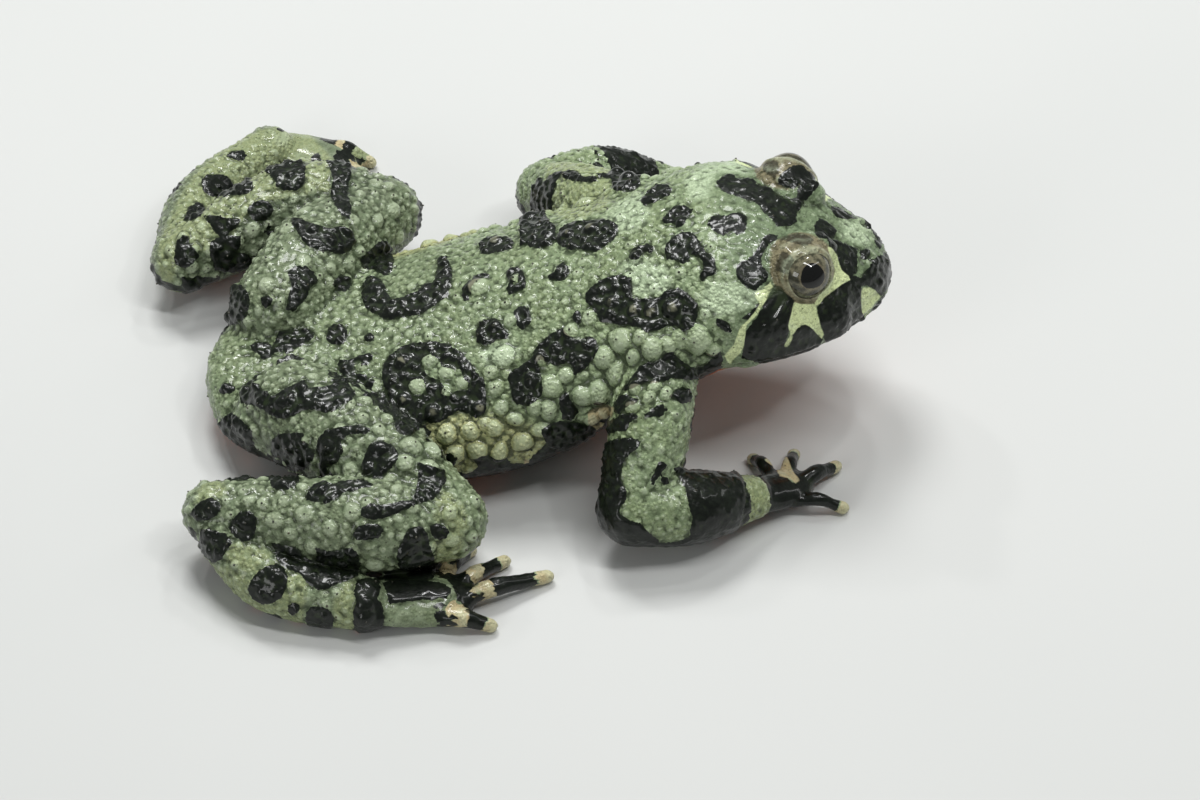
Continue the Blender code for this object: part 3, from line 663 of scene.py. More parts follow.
    (186, 214, 190, 206, 196, 202, 205, 202, 205, 208, 200, 216, 192, 220, 184, 220),
    (204, 216, 214, 214, 224, 218, 236, 218, 242, 220, 238, 226, 230, 232, 226, 240, 220, 238, 214, 230),
    (246, 212, 252, 204, 260, 200, 268, 201, 274, 207, 272, 215, 266, 220, 256, 222),
    (175, 250, 177, 240, 182, 235, 188, 236, 190, 244, 196, 250, 200, 256, 194, 264, 184, 268, 176, 264),
    (212, 254, 222, 252, 234, 250, 246, 254, 254, 260, 250, 267, 240, 272, 228, 272, 218, 266),
    (182, 276, 192, 280, 202, 286, 204, 296, 198, 304, 190, 306, 183, 298),
    (209, 306, 214, 294, 222, 286, 232, 282, 242, 286, 248, 294, 250, 306, 246, 316, 236, 324, 222, 324),
    (262, 298, 267, 296, 272, 300, 271, 306, 266, 309, 262, 304),
    (290, 218, 298, 218, 306, 222, 318, 224, 330, 228, 342, 226, 352, 232, 356, 242, 350, 250, 342, 254,
     330, 252, 318, 250, 308, 246, 302, 240, 296, 230),
    (288, 272, 296, 266, 306, 266, 314, 272, 318, 282, 310, 288, 306, 298, 300, 306, 294, 312, 286, 310,
     288, 298, 292, 288, 290, 280),
    (334, 282, 340, 276, 350, 278, 352, 286, 346, 292, 336, 292),
    (360, 260, 368, 252, 376, 244, 386, 240, 392, 248, 394, 260, 392, 272, 384, 276, 374, 270, 364, 268),
    # Far and near arms
    (520, 245, 518, 200, 522, 170, 532, 164, 540, 172, 544, 190, 546, 215, 550, 222, 556, 226, 556, 240,
     540, 244),
    (560, 172, 572, 170, 584, 176, 598, 176, 596, 182, 580, 182, 564, 178),
    (606, 158, 620, 162, 634, 160, 640, 176, 640, 186, 630, 192, 614, 190, 610, 176),
    (614, 404, 619, 396, 626, 393, 634, 398, 640, 400, 634, 404, 626, 406, 620, 414, 614, 412),
    (670, 396, 676, 390, 682, 387, 690, 390, 693, 396, 690, 402, 682, 404, 676, 400),
    (643, 416, 648, 412, 655, 406, 662, 404, 667, 410, 662, 416, 652, 418),
    (605, 430, 608, 422, 616, 418, 622, 414, 634, 414, 638, 417, 630, 422, 626, 430, 616, 432, 606, 434),
    (596, 448, 606, 442, 618, 439, 632, 438, 641, 441, 640, 448, 632, 453, 625, 459, 622, 468, 620, 478,
     625, 488, 626, 498, 621, 506, 620, 514, 630, 520, 641, 525, 650, 533, 660, 542, 678, 542, 692, 536,
     698, 560, 650, 572, 610, 560, 588, 520, 586, 470),
    (672, 468, 680, 466, 690, 471, 700, 467, 716, 466, 734, 468, 742, 478, 745, 490, 745, 502, 742, 514,
     738, 530, 726, 540, 710, 546, 692, 544, 690, 530, 692, 520, 690, 510, 688, 500, 686, 490, 680, 480),
    (650, 478, 656, 470, 660, 462, 668, 464, 664, 470, 658, 478, 652, 488),
    (660, 480, 663, 476, 668, 477, 669, 483, 664, 485),
)
# Green again inside a black blotch, and at the far foot's end
GREEN = (
    (422, 358, 430, 354, 438, 358, 442, 366, 452, 368, 460, 368, 464, 378, 470, 384, 468, 390, 460, 390,
     452, 392, 444, 386, 438, 380, 430, 378, 424, 372),
    (408, 386, 412, 379, 420, 377, 426, 381, 427, 390, 420, 396, 412, 395),
    (440, 392, 446, 387, 452, 391, 450, 397, 444, 396),
    (512, 276, 518, 274, 519, 283, 513, 285),
    (352, 152, 360, 140, 376, 136, 384, 144, 372, 154, 356, 160),
)
# Pale yellow-green of the face: the fork under the eye and its stem, the snout's wedge, the lines round
# the eye
LIGHT = (
    (794, 302, 800, 304, 810, 304, 816, 303, 818, 316, 820, 326, 824, 334, 822, 339, 816, 333, 811, 327,
     805, 324, 799, 326, 795, 332, 791, 336, 788, 326, 791, 316),
    (792, 333, 793, 337, 790, 344, 786, 348, 784, 346, 788, 339),
    (862, 288, 869, 287, 875, 290, 881, 297, 874, 304, 869, 313, 866, 319, 862, 312, 861, 300),
    (827, 246, 832, 248, 837, 255, 839, 263, 842, 271, 849, 276, 850, 280, 842, 284, 833, 291, 824, 298,
     819, 305, 815, 303, 819, 295, 828, 287, 833, 280, 835, 271, 833, 262, 829, 253),
    (771, 281, 774, 288, 769, 293, 766, 300, 761, 308, 757, 315, 750, 322, 746, 326, 745, 336, 744, 346,
     740, 354, 733, 360, 730, 366, 724, 356, 729, 350, 734, 345, 737, 336, 741, 326, 748, 320, 755, 312,
     760, 303, 755, 298, 755, 292, 765, 288),
)
# Dull yellow-green: the lower shank and the bands of both hind legs, the far arm, the near wrist
PALE = (
    (194, 506, 196, 494, 203, 486, 212, 480, 222, 480, 226, 488, 224, 496, 216, 498, 206, 500),
    (224, 556, 230, 546, 238, 541, 246, 541, 254, 549, 264, 549, 272, 553, 270, 560, 260, 564, 254, 572,
     246, 574, 236, 566, 226, 562),
    (200, 556, 214, 566, 226, 566, 240, 574, 250, 578, 256, 570, 276, 560, 290, 568, 300, 572, 308, 584,
     304, 600, 304, 622, 316, 636, 300, 640, 280, 632, 260, 622, 240, 612, 220, 598, 204, 580),
    (334, 600, 341, 590, 346, 582, 356, 578, 355, 592, 357, 604, 355, 620, 360, 632, 368, 644, 350, 648,
     336, 644, 330, 630, 334, 618),
    (436, 500, 444, 490, 452, 494, 462, 502, 467, 514, 470, 526, 464, 538, 462, 550, 460, 562, 464, 575,
     458, 580, 448, 578, 438, 578, 434, 566, 436, 552, 432, 540, 440, 540, 450, 534, 444, 524, 434, 518),
    (156, 280, 160, 240, 176, 204, 196, 170, 236, 134, 300, 124, 330, 156, 330, 190, 300, 194, 272, 200,
     244, 218, 222, 246, 200, 252, 184, 240, 176, 262, 174, 284),
    (545, 165, 560, 150, 600, 150, 616, 170, 606, 210, 570, 222, 545, 210),
    (348, 156, 356, 138, 378, 132, 388, 144, 376, 158, 356, 166),
    (734, 464, 752, 464, 768, 474, 778, 496, 776, 514, 744, 530, 736, 524, 742, 500, 738, 484),
)
# Bright mint on the neck, the crown, the snout and the middle of the back
MINT = (
    (622, 262, 634, 256, 650, 262, 664, 266, 670, 278, 672, 290, 660, 294, 640, 296, 632, 292, 630, 280,
     620, 272),
    (606, 216, 618, 204, 630, 196, 642, 190, 650, 206, 646, 222, 630, 232, 620, 232),
    (684, 180, 700, 164, 740, 158, 750, 172, 716, 174, 708, 200, 690, 200),
    (700, 300, 708, 282, 730, 282, 752, 294, 756, 304, 740, 312, 720, 314, 704, 318),
    (842, 222, 858, 220, 868, 228, 872, 240, 868, 246, 852, 242, 842, 236),
    (480, 352, 492, 344, 512, 340, 520, 352, 508, 364, 486, 366),
)
# Cream: the palm, the fold behind the near arm, lines on the lower flank
CREAM = (
    (764, 460, 770, 457, 780, 456, 787, 457, 790, 464, 794, 474, 800, 480, 796, 484, 788, 478, 780, 476,
     776, 468, 770, 464),
    (588, 412, 596, 408, 606, 404, 614, 408, 612, 416, 604, 424, 602, 436, 596, 440, 596, 428, 588, 424),
    (524, 458, 529, 460, 528, 474, 522, 486, 512, 500, 510, 492, 518, 482, 524, 470),
    (532, 476, 550, 475, 550, 480, 532, 482),
    (526, 500, 530, 494, 530, 530, 526, 532),
)
# The eyelids' dark brown
BROWN = (
    (775, 270, 776, 262, 780, 255, 782, 250, 786, 252, 790, 255, 794, 258, 793, 265, 789, 271, 783, 274),
    (780, 240, 784, 236, 792, 234, 800, 233, 808, 235, 814, 239, 812, 243, 805, 246, 800, 245, 790, 242),
    (763, 165, 770, 158, 778, 162, 779, 170, 776, 178, 768, 175, 762, 170),
    (776, 288, 782, 290, 790, 296, 796, 301, 790, 303, 782, 298, 774, 292),
)
# Warts large enough to be read one by one: pixel place and pixel radius. Those of the shoulder and the
# back have beige tops in front of one pixel column.
BEIGE_COLUMN = 400
SHOULDER_WARTS = (
    (583, 396, 13), (599, 393, 14), (616, 373, 14), (606, 358, 13), (620, 341, 14), (652, 349, 13),
    (668, 344, 9), (697, 340, 16), (681, 338, 11), (712, 350, 9), (640, 337, 9), (633, 357, 9),
    (592, 419, 9), (604, 412, 9), (552, 387, 12), (566, 375, 9), (549, 410, 11), (636, 388, 8),
    (654, 386, 8), (666, 394, 8), (650, 398, 8), (632, 404, 9),
)
BACK_WARTS = (
    (591, 231, 10), (568, 235, 8), (478, 288, 13), (496, 243, 10), (570, 331, 9), (556, 349, 7),
    (541, 359, 8), (532, 381, 8), (589, 318, 9), (612, 303, 8), (651, 312, 9), (672, 308, 10),
    (634, 311, 8), (612, 314, 6), (624, 321, 5), (687, 322, 6), (510, 321, 8), (496, 328, 8),
    (430, 361, 9), (446, 374, 9), (463, 384, 8), (446, 392, 7), (418, 387, 11), (432, 389, 6),
    (403, 362, 9), (404, 400, 8), (433, 412, 9), (480, 408, 8), (503, 356, 12), (491, 373, 8),
    (495, 388, 9), (378, 290, 8), (388, 312, 6), (425, 300, 7), (446, 272, 6), (515, 280, 7),
    (374, 386, 10), (365, 402, 9), (352, 405, 8), (383, 402, 8), (388, 418, 8), (362, 418, 8),
    (290, 400, 8), (283, 404, 8), (246, 390, 8), (317, 405, 7),
)
FLANK_WARTS = (
    (412, 446, 12), (434, 452, 13), (455, 455, 12), (478, 450, 11), (500, 452, 13), (522, 442, 12),
    (540, 430, 11), (420, 430, 9), (447, 434, 11), (470, 431, 10), (493, 428, 10), (515, 420, 10),
    (536, 408, 9), (405, 463, 10), (429, 468, 10), (500, 408, 8), (484, 424, 8),
)
LEG_WARTS = (
    (288, 447, 9), (300, 461, 8), (283, 484, 8), (328, 447, 9), (381, 450, 9), (350, 470, 9),
    (250, 500, 8), (262, 503, 7), (275, 520, 10), (305, 515, 10), (330, 528, 9), (312, 548, 9),
    (352, 512, 10), (212, 508, 8), (246, 524, 8), (208, 533, 7), (290, 534, 8), (375, 565, 10),
    (450, 512, 9), (452, 540, 9), (276, 575, 9), (365, 604, 9), (365, 618, 9), (418, 560, 10),
    (252, 230, 9), (287, 228, 10), (270, 238, 7), (304, 211, 9), (236, 241, 9), (314, 228, 9),
    (329, 240, 8), (304, 262, 10), (266, 285, 10), (232, 288, 9), (242, 260, 8), (190, 285, 8),
    (226, 256, 7), (353, 220, 8), (376, 184, 9), (360, 194, 8), (394, 210, 10), (372, 290, 9),
    (350, 264, 9), (378, 220, 9), (388, 186, 8), (400, 238, 9),
)


class Cells:
    """Points sorted into cubes of equal size, so that those near a place are found quickly."""

    size = 0.8
    margin = 8

    def __init__(self, points):
        self.points = points
        self.corner = points.min(axis=0) - self.margin * self.size
        self.counts = ((points.max(axis=0) - self.corner) / self.size).astype(int) + self.margin + 1
        keys = self.keys_of(points)
        self.order = np.argsort(keys, kind="stable")
        self.keys = keys[self.order]

    def keys_of(self, places):
        """One number for the cube that holds each place."""
        column = ((places - self.corner) / self.size).astype(int)
        return (column[:, 0] * self.counts[1] + column[:, 1]) * self.counts[2] + column[:, 2]

    def near(self, place, reach):
        """Which points lie within reach of a place, and how far away they are."""
        steps = np.arange(-math.ceil(reach / self.size), math.ceil(reach / self.size) + 1)
        across, along = (grid.ravel() for grid in np.meshgrid(steps, steps))
        columns = np.asarray(place) + np.stack([across, along, 0 * along], axis=-1) * self.size
        starts = np.searchsorted(self.keys, self.keys_of(columns + (0, 0, steps[0] * self.size)), "left")
        ends = np.searchsorted(self.keys, self.keys_of(columns + (0, 0, steps[-1] * self.size)), "right")
        found = np.concatenate([self.order[start:end] for start, end in zip(starts, ends)])
        gap = distance(self.points[found], place)
        return found[gap < reach], gap[gap < reach]


class Facing:
    """What the photo's camera sees of a set of points: their pixel places and which ones show."""

    # Width of a square in pixels and how many lie side by side; how far behind the nearest point of a
    # square one still shows; and how far behind the nearest one the skin at a pixel may lie
    square = 6
    squares = 256
    cover = 1.3
    layer = 0.8

    def __init__(self, points, ways):
        self.points = points
        self.pixels = Camera.project(points)
        self.turned = ways @ -Camera.ahead
        self.depth = (points - Camera.aim) @ Camera.ahead

    def place_under(self, pixel, spread=5.0):
        """The point that shows nearest to a pixel, within a spread of pixels, or None."""
        gap = distance(self.pixels, pixel)
        shown = np.flatnonzero((gap < spread) & (self.turned > 0.02))
        if len(shown) == 0:
            return None
        close = shown[self.depth[shown] < self.depth[shown].min() + self.layer]
        return close[gap[close].argmin()]

    def seen(self):
        """True where nothing nearer covers a point, by the nearest depth in small squares of pixels."""
        column = np.clip(self.pixels // self.square, 0, self.squares - 1).astype(int)
        square = column[:, 0] * self.squares + column[:, 1]
        nearest = np.full(self.squares ** 2, np.inf)
        np.minimum.at(nearest, square, self.depth)
        return (self.turned > 0.05) & (self.depth < nearest[square] + self.cover)


# How near the mirrored place a twin lies, and how little it may be turned to the camera
TWIN_GAP = 0.6
TWIN_TURNED = 0.12


def hidden_twin(facing, vertex):
    """The vertex that mirrors one of the torso or head, where the camera doesn't see it."""
    gap = distance(facing.points, facing.points[vertex] * (1, -1, 1))
    twin = gap.argmin()
    return twin if gap[twin] < TWIN_GAP and facing.turned[twin] < TWIN_TURNED else None


def anchored(facing, rows):
    """Each outline with the place on the skin where it lies; those of the side also on the far side."""
    found = []
    for row in rows:
        corners = np.array(row, float).reshape(-1, 2)
        vertex = facing.place_under(corners.mean(axis=0), spread=12.0)
        if vertex is None:
            continue
        found.append((facing.points[vertex], 1, corners))
        twin = hidden_twin(facing, vertex)
        if twin is not None:
            found.append((facing.points[twin], -1, corners))
    return found


def outline_distance(places, corners):
    """Distance of flat places from the nearest edge of a closed outline, below 0 inside it.

    A place is inside where an odd number of edges lies straight to its right.
    """
    edge = np.roll(corners, -1, axis=0) - corners
    away = places[:, None] - corners
    part = np.clip((away * edge).sum(axis=2) / (edge ** 2).sum(axis=1), 0, 1)
    gap = np.linalg.norm(away - part[..., None] * edge, axis=2).min(axis=1)
    rises = (away[..., 1] < 0) != (away[..., 1] < edge[:, 1])
    slope = edge[:, 0] / np.where(edge[:, 1] == 0, 1e-9, edge[:, 1])
    inside = (rises & (away[..., 0] < away[..., 1] * slope)).sum(axis=1) % 2 == 1
    return np.where(inside, -gap, gap)


def melted(first, second, reach=0.1):
    """The lower of two signed distances, rounded off where they are within reach of each other."""
    share = np.clip(0.5 + 0.5 * (second - first) / reach, 0, 1)
    return second + (first - second) * share - reach * share * (1 - share)


# Signed distance in millimetres of a point that no patch comes near
OUTSIDE = 2.0


def only_on(part, field):
    """A signed distance on one part of the skin; everywhere else lies outside."""
    return np.where(part, field, OUTSIDE)


def patch_field(points, patches):
    """Signed distance in millimetres from the nearest patch's edge, below 0 inside.

    A patch reaches only the skin round its own place, not what lies behind it in the photo.
    """
    cells = Cells(points)
    pixels = {1: Camera.project(points), -1: Camera.project(points * (1, -1, 1))}
    field = np.full(len(points), OUTSIDE)
    for anchor, side, corners in patches:
        widest = distance(corners, corners.mean(axis=0)).max()
        found, _ = cells.near(anchor, 2.1 * widest / Camera.pixels_per_mm + 0.6)
        gap = outline_distance(pixels[side][found], corners) / Camera.pixels_per_mm
        field[found] = melted(field[found], gap)
    return field


class Zones:
    """Which part of the body each point belongs to, and how far along its limb or toe it lies."""

    # Places along a toe's line; below what height toes are looked for, and how near their skin lies
    toe_steps = 12
    toe_height = 3.0
    toe_reach = 0.45

    def __init__(self, points):
        self.names = ["body"]
        heights, shares = [body_reach(points)], [0 * points[:, 0]]
        for side in JOINTS:
            for piece in LIMBS:
                height, share = limb_reach(points, side, piece)
                self.names.append(f"{piece}_{side}")
                heights.append(height)
                shares.append(share)
        self.nearest = np.argmin(heights, axis=0)
        self.shares = np.array(shares)
        self.toe = np.zeros(len(points))
        low = np.flatnonzero(points[:, 2] < self.toe_height)
        gaps = np.full(len(low), self.toe_reach)
        for side in JOINTS:
            for piece in ("foot", "hand"):
                for base, middle, tip, half_width in digits(side, piece):
                    line = smooth_rows([base, middle, tip], self.toe_steps)
                    away = np.linalg.norm(points[low][:, None] - line[None], axis=2) - half_width
                    reach, place = away.min(axis=1), away.argmin(axis=1) / (self.toe_steps - 1)
                    self.toe[low] = np.where(reach < gaps, np.maximum(place, 0.01), self.toe[low])
                    gaps = np.minimum(gaps, reach)

    def on(self, *pieces):
        """True on the named pieces, of both sides."""
        wanted = [number for number, name in enumerate(self.names) if name.rsplit("_", 1)[0] in pieces]
        return np.isin(self.nearest, wanted)

    def along(self, piece):
        """How far along a limb piece each point lies, from 0 to 1, on whichever side it is."""
        right, left = (self.names.index(f"{piece}_{side}") for side in ("right", "left"))
        return np.where(self.nearest == right, self.shares[right], self.shares[left])


class Warts:
    """Rounded warts: each lifts the skin by radius * steepness * (1 - (distance / radius)^2)^0.7.

    The distance counts more along one way that is drawn at random, and is stretched by a few hundredths
    here and there, so that no outline is a plain circle.
    """

    def __init__(self, points, chance):
        self.points, self.chance = points, chance
        self.stretch = 1 + 0.05 * noise_field(points, 1.0, 5)
        self.cells = Cells(points)
        self.lift = np.zeros(len(points))
        self.room = np.full(len(points), 9.0)
        self.rows = []

    def add(self, place, radius, steepness, beige=False):
        """Lifts the skin round a place, and notes the room that is left round the wart."""
        found, gap = self.cells.near(place, radius + 1.0)
        self.room[found] = np.minimum(self.room[found], gap - radius)
        narrow = self.chance.normal(size=3) * 0.4
        gap = np.hypot(gap, (self.points[found] - place) @ narrow) * self.stretch[found]
        inside = gap < radius
        dome = (1 - (gap[inside] / radius) ** 2) ** 0.7 * radius * steepness
        self.lift[found[inside]] = np.maximum(self.lift[found[inside]], dome)
        self.rows.append((np.asarray(place), radius, beige))


def wart_heights(points, rows):
    """Height share of the warts at each point, 1 on a top and 0 between: 1 - (distance / reach)^2.

    Gives the share of all warts, and of those with beige tops.
    """
    cells = Cells(points)
    share, topped = np.zeros(len(points)), np.zeros(len(points))
    for place, radius, beige in rows:
        reach = radius * 1.1
        found, gap = cells.near(place, reach)
        dome = np.clip(1 - (gap / reach) ** 2, 0, 1)
        share[found] = np.maximum(share[found], dome)
        if beige:
            topped[found] = np.maximum(topped[found], dome)
    return share, topped


# Warts read one by one, with how steep they stand
WART_TABLES = ((SHOULDER_WARTS, 0.6), (FLANK_WARTS, 0.6), (BACK_WARTS, 0.5), (LEG_WARTS, 0.4))
# Random warts in three rounds: share of the largest radius, tries, and least room between two
WART_ROUNDS = ((1.0, 1300, 0.12), (0.72, 5000, 0.05), (0.5, 40000, 0.0))
# Largest radius of the random warts on green skin, on black, on the thick and on the slim limb pieces,
# and how much smaller they are on the head
GREEN_WART, BLACK_WART, THICK_LIMB_WART, SLIM_LIMB_WART, HEAD_LESS = 0.4, 0.48, 0.5, 0.36, 0.12
GREEN_STEEPNESS, BLACK_STEEPNESS = 0.44, 0.55
# What the random warts lose in steepness on the underside, the head and the forearm's black
UNDER_LESS, HEAD_FLATTER, ARM_FLATTER = 0.5, 0.35, 0.55
# How high the black skin stands, and the evenly spread roughness of all skin
BLACK_RAISED, UNEVEN = 0.12, 0.035


def grow_read_warts(warts, facing):
    """The warts read one by one, and on the torso and head their hidden twins of the far side."""
    for rows, steepness in WART_TABLES:
        for x, y, radius in rows:
            vertex = facing.place_under((x, y))
            if vertex is None:
                continue
            for number in (vertex, hidden_twin(facing, vertex)):
                if number is not None:
                    beige = rows in (SHOULDER_WARTS, BACK_WARTS) and x > BEIGE_COLUMN
                    warts.add(facing.points[number], radius / Camera.pixels_per_mm, steepness, beige)


def grow_warts(skin, patches, chance):
    """Warts read one by one, then random ones with room between them, smaller on the head and the limbs'
    ends.

    None grows on hands, feet, the underside and the eyes. The black skin stands a little higher too.
    """
    points, ways = skin.points, skin.soft_normals(12)
    zones, warts = Zones(points), Warts(points, chance)
    grow_read_warts(warts, Facing(points, ways))
    field = patch_field(points, patches["black"])
    black = field < 0
    head = ease(points[:, 0], 29.5, 32.5) * (zones.nearest == 0)
    under = ease(-ways[:, 2], 0.1, 0.6)
    most = np.where(black, BLACK_WART, GREEN_WART) - HEAD_LESS * head
    most = np.where(zones.on("thigh", "shank"), THICK_LIMB_WART, most)
    most = np.where(zones.on("tarsus", "upper_arm", "forearm"), SLIM_LIMB_WART, most)
    flatter = HEAD_FLATTER * head
    sleek = ARM_FLATTER * (zones.on("forearm") & black)
    bare = zones.on("foot", "hand") | (zones.toe > 0) | (points[:, 2] < 0.25) | (under > 0.6)
    for side in JOINTS:
        bare |= distance(points, eye_places(side)[1]) < EYE_BALL * 1.28
    for share, tries, least_room in WART_ROUNDS:
        for vertex in chance.integers(0, len(points), tries):
            radius = most[vertex] * share * (0.62 + 0.38 * chance.random())
            if not bare[vertex] and warts.room[vertex] > radius * 0.85 + least_room:
                steepness = BLACK_STEEPNESS if black[vertex] else GREEN_STEEPNESS
                steepness *= 1 - UNDER_LESS * under[vertex]
                steepness *= 1 - flatter[vertex] - sleek[vertex]
                warts.add(points[vertex], radius, steepness)
    raised = BLACK_RAISED * ease(field, 0.06, -0.12) * (1 - 0.6 * head)
    uneven = UNEVEN * noise_field(points, 0.7, 8) * (1 - 0.6 * bare)
    skin.points = points + ways * (warts.lift + raised + uneven)[:, None]
    return warts


def hidden_blots(skin, chance):
    """Black blotches where the photo doesn't show the limbs and the underside: places and radii.

    They are drawn at random with room between them. The far side of the torso and head has none, because
    it mirrors the near side.
    """
    tries, least, most = 900, 0.4, 1.6
    points, ways = skin.points, skin.soft_normals(12)
    facing, zones = Facing(points, ways), Zones(points)
    hidden = ~facing.seen() & (facing.turned < 0.0) & (zones.toe == 0) & (ways[:, 2] > -0.75)
    found = []
    for vertex in chance.choice(np.flatnonzero(hidden), tries):
        place, radius = points[vertex], chance.uniform(least, most)
        mirrored = zones.nearest[vertex] == 0 and ways[vertex, 2] > -0.1
        if mirrored or any(np.linalg.norm(place - other) < 1.1 * (radius + size) for other, size in found):
            continue
        found.append((place, radius))
    return found


def smallest(*fields):
    """The nearest of several signed distances."""
    return np.minimum.reduce(fields)


def black_field(points, down, patches, blots, zones, wobble):
    """Signed distance from the black of blotches, blots, lower flanks (partly painted shade), hands, feet,
    and bands of arm and toes.

    The factors at the ends turn slopes and shares of a limb's length into about millimetres.
    """
    cells = Cells(points)
    black = patch_field(points, patches["black"])
    blot_edge = 0.3 * noise_field(points, 1.8, 9)
    for place, radius in blots:
        found, gap = cells.near(place, radius + 1.5)
        black[found] = melted(black[found], gap - radius + blot_edge[found], 0.5)
    # The lower flank is black down to the belly: partly the skin's own black, partly painted shade under the
    # flank
    flank = only_on((zones.nearest == 0) & (points[:, 0] < 31), (0.12 - down - 0.16 * wobble) * 3.2)
    arm = only_on(zones.on("forearm"), (np.abs(zones.along("forearm") - 0.62) - 0.21) * 5.6)
    hands = only_on(zones.on("hand"), -0.6)
    feet = only_on(zones.on("foot") & (zones.toe == 0), 0.5 + 0.9 * wobble)
    toes = only_on(zones.toe > 0, (np.abs(zones.toe - 0.52) - 0.33) * 4.0)
    toes = np.where(zones.on("hand", "forearm") & (zones.toe < 0.5), -0.5, toes)
    return np.where(zones.toe > 0, toes, smallest(black, flank, hands, arm, feet))


def paint_skin(skin, patches, blots, warts):
    """Stores what the skin's material needs at each vertex: signed distances and shares of each colour.

    Green, light and cream patches cut through the black, and light and cream stop at the belly.
    """
    points, ways = skin.points, skin.soft_normals(14)
    zones = Zones(points)
    on_body, down, wobble = zones.nearest == 0, -ways[:, 2], noise_field(points, 3.2, 3)
    beneath = np.where(on_body, (down - 0.32) * 4, -OUTSIDE)
    light = np.maximum(patch_field(points, patches["light"]), beneath)
    banded = (zones.toe > 0) & ~zones.on("hand", "forearm")
    toe_band = only_on(banded, (np.abs(zones.toe - 0.44 - 0.1 * wobble) - 0.08) * 5)
    cream = smallest(np.maximum(patch_field(points, patches["cream"]), beneath), toe_band)
    black = black_field(points, down, patches, blots, zones, wobble)
    black = -smallest(-black, patch_field(points, patches["green"]), light, cream)
    share, topped = wart_heights(points, warts.rows)
    # Painted shade on the far hind leg
    far = 0.4 * ease(points[:, 1], 8, 12)
    yellow = np.linalg.norm((points - (15.5, 0, 4.6)) / (6.5, 30, 2.2), axis=1)
    lid = np.full(len(points), OUTSIDE)
    for side in JOINTS:
        bulge, ball, _ = eye_places(side)
        over_ball, over_bulge = distance(points, ball) - EYE_BALL, distance(points, bulge) - EYE_BULGE
        lid = smallest(lid, over_ball - 0.5, over_bulge - 0.12)
    fields = {
        "black": black, "light": light, "cream": cream, "wart": share, "topped": topped, "lid": lid,
        "tip": only_on(zones.toe > 0, (0.88 - zones.toe) * 5),
        # Height over the neighbours' mean: the material paints shade in the hollows and highlight on the tops
        # from it
        "relief": ((points - skin.averaged(points, 5)) * skin.normals).sum(axis=1),
        "belly": down + 0.12 * wobble - np.where(on_body, 0.0, 0.25),
        # Share of the duller green: towards the rear and on the limbs, and more on the far hind leg as
        # painted shade
        "grey": ease(points[:, 0], 25, 8) * (0.5 + (0.5 + far) * ~on_body),
        "head": ease(points[:, 0], 30.0, 33.0) * on_body,
        "yellow": ease(yellow, 1.15, 0.7) * on_body * ease(np.abs(points[:, 1]), 6.5, 8.0),
    }
    for name in ("pale", "mint", "brown"):
        fields[name] = patch_field(points, patches[name])
    for name, values in fields.items():
        skin.keep(name, values)


def refined(skin, places, reach):
    """The skin with every edge near the places cut in two."""
    points = skin.points
    near = np.min([distance(points, place) for place in places], axis=0) < reach
    form = bmesh.new()
    form.from_mesh(skin.mesh)
    form.edges.ensure_lookup_table()
    cut = [form.edges[number] for number in np.flatnonzero(near[skin.edges].all(axis=1))]
    bmesh.ops.subdivide_edges(form, edges=cut, cuts=1, use_grid_fill=True)
    form.to_mesh(skin.mesh)
    form.free()
    return Skin(skin.mesh)


def make_skin():
    """The whole skin: fused forms, evened out, then eyelids, mouth, nostrils, warts and colours."""
    chance = np.random.default_rng(SEED)
    rough = mesh_from("forms", *joined(flesh_forms()))
    skin = Skin(evaluated(rough, "REMESH", mode="VOXEL", voxel_size=VOXEL * MM, adaptivity=0.0))
    skin.points = skin.averaged(skin.points, 12)
    skin = refined(skin, [eye_places(side)[1] for side in JOINTS], 2.6)
    for side in JOINTS:
        open_eye(skin, side)
    cut_mouth(skin)
    pit_nostrils(skin)
    facing = Facing(skin.points, skin.soft_normals(12))
    rows = {
        "black": BLACK, "green": GREEN, "light": LIGHT, "pale": PALE, "cream": CREAM, "mint": MINT,
        "brown": BROWN,
    }
    patches = {name: anchored(facing, table) for name, table in rows.items()}
    warts = grow_warts(skin, patches, chance)
    share = min(1.0, SKIN_TRIANGLES / sum(len(face.vertices) - 2 for face in skin.mesh.polygons))
    skin = Skin(evaluated(skin.mesh, "DECIMATE", ratio=share))
    skin.points = np.maximum(skin.points, (-np.inf, -np.inf, 0))
    blots = hidden_blots(skin, chance)
    paint_skin(skin, patches, blots, warts)
    skin.mesh.shade_smooth()
    return skin, warts


class Value:
    """A number that changes over a surface; sums and products of it add Math nodes to its finish."""

    def __init__(self, finish, socket):
        self.finish, self.socket = finish, socket

    def math(self, operation, *terms):
        """Adds a Math node over the terms."""
        return self.finish.node("ShaderNodeMath", {"operation": operation}, dict(enumerate(terms)))

    def __add__(self, other):
        return self.math("ADD", self, other)

    def __sub__(self, other):
        return self.math("SUBTRACT", self, other)

    def __rsub__(self, other):
        return self.math("SUBTRACT", other, self)

    def __mul__(self, other):
        return self.math("MULTIPLY", self, other)

    __radd__, __rmul__ = __add__, __mul__

    def eased(self, start, end):
        """0 at start, 1 at end, with a smooth step between."""
        inputs = {"Value": self, "From Min": start, "From Max": end}
        return self.finish.node("ShaderNodeMapRange", {"interpolation_type": "SMOOTHSTEP"}, inputs)

    def least(self, other):
        """The lower of two values."""
        return self.math("MINIMUM", self, other)


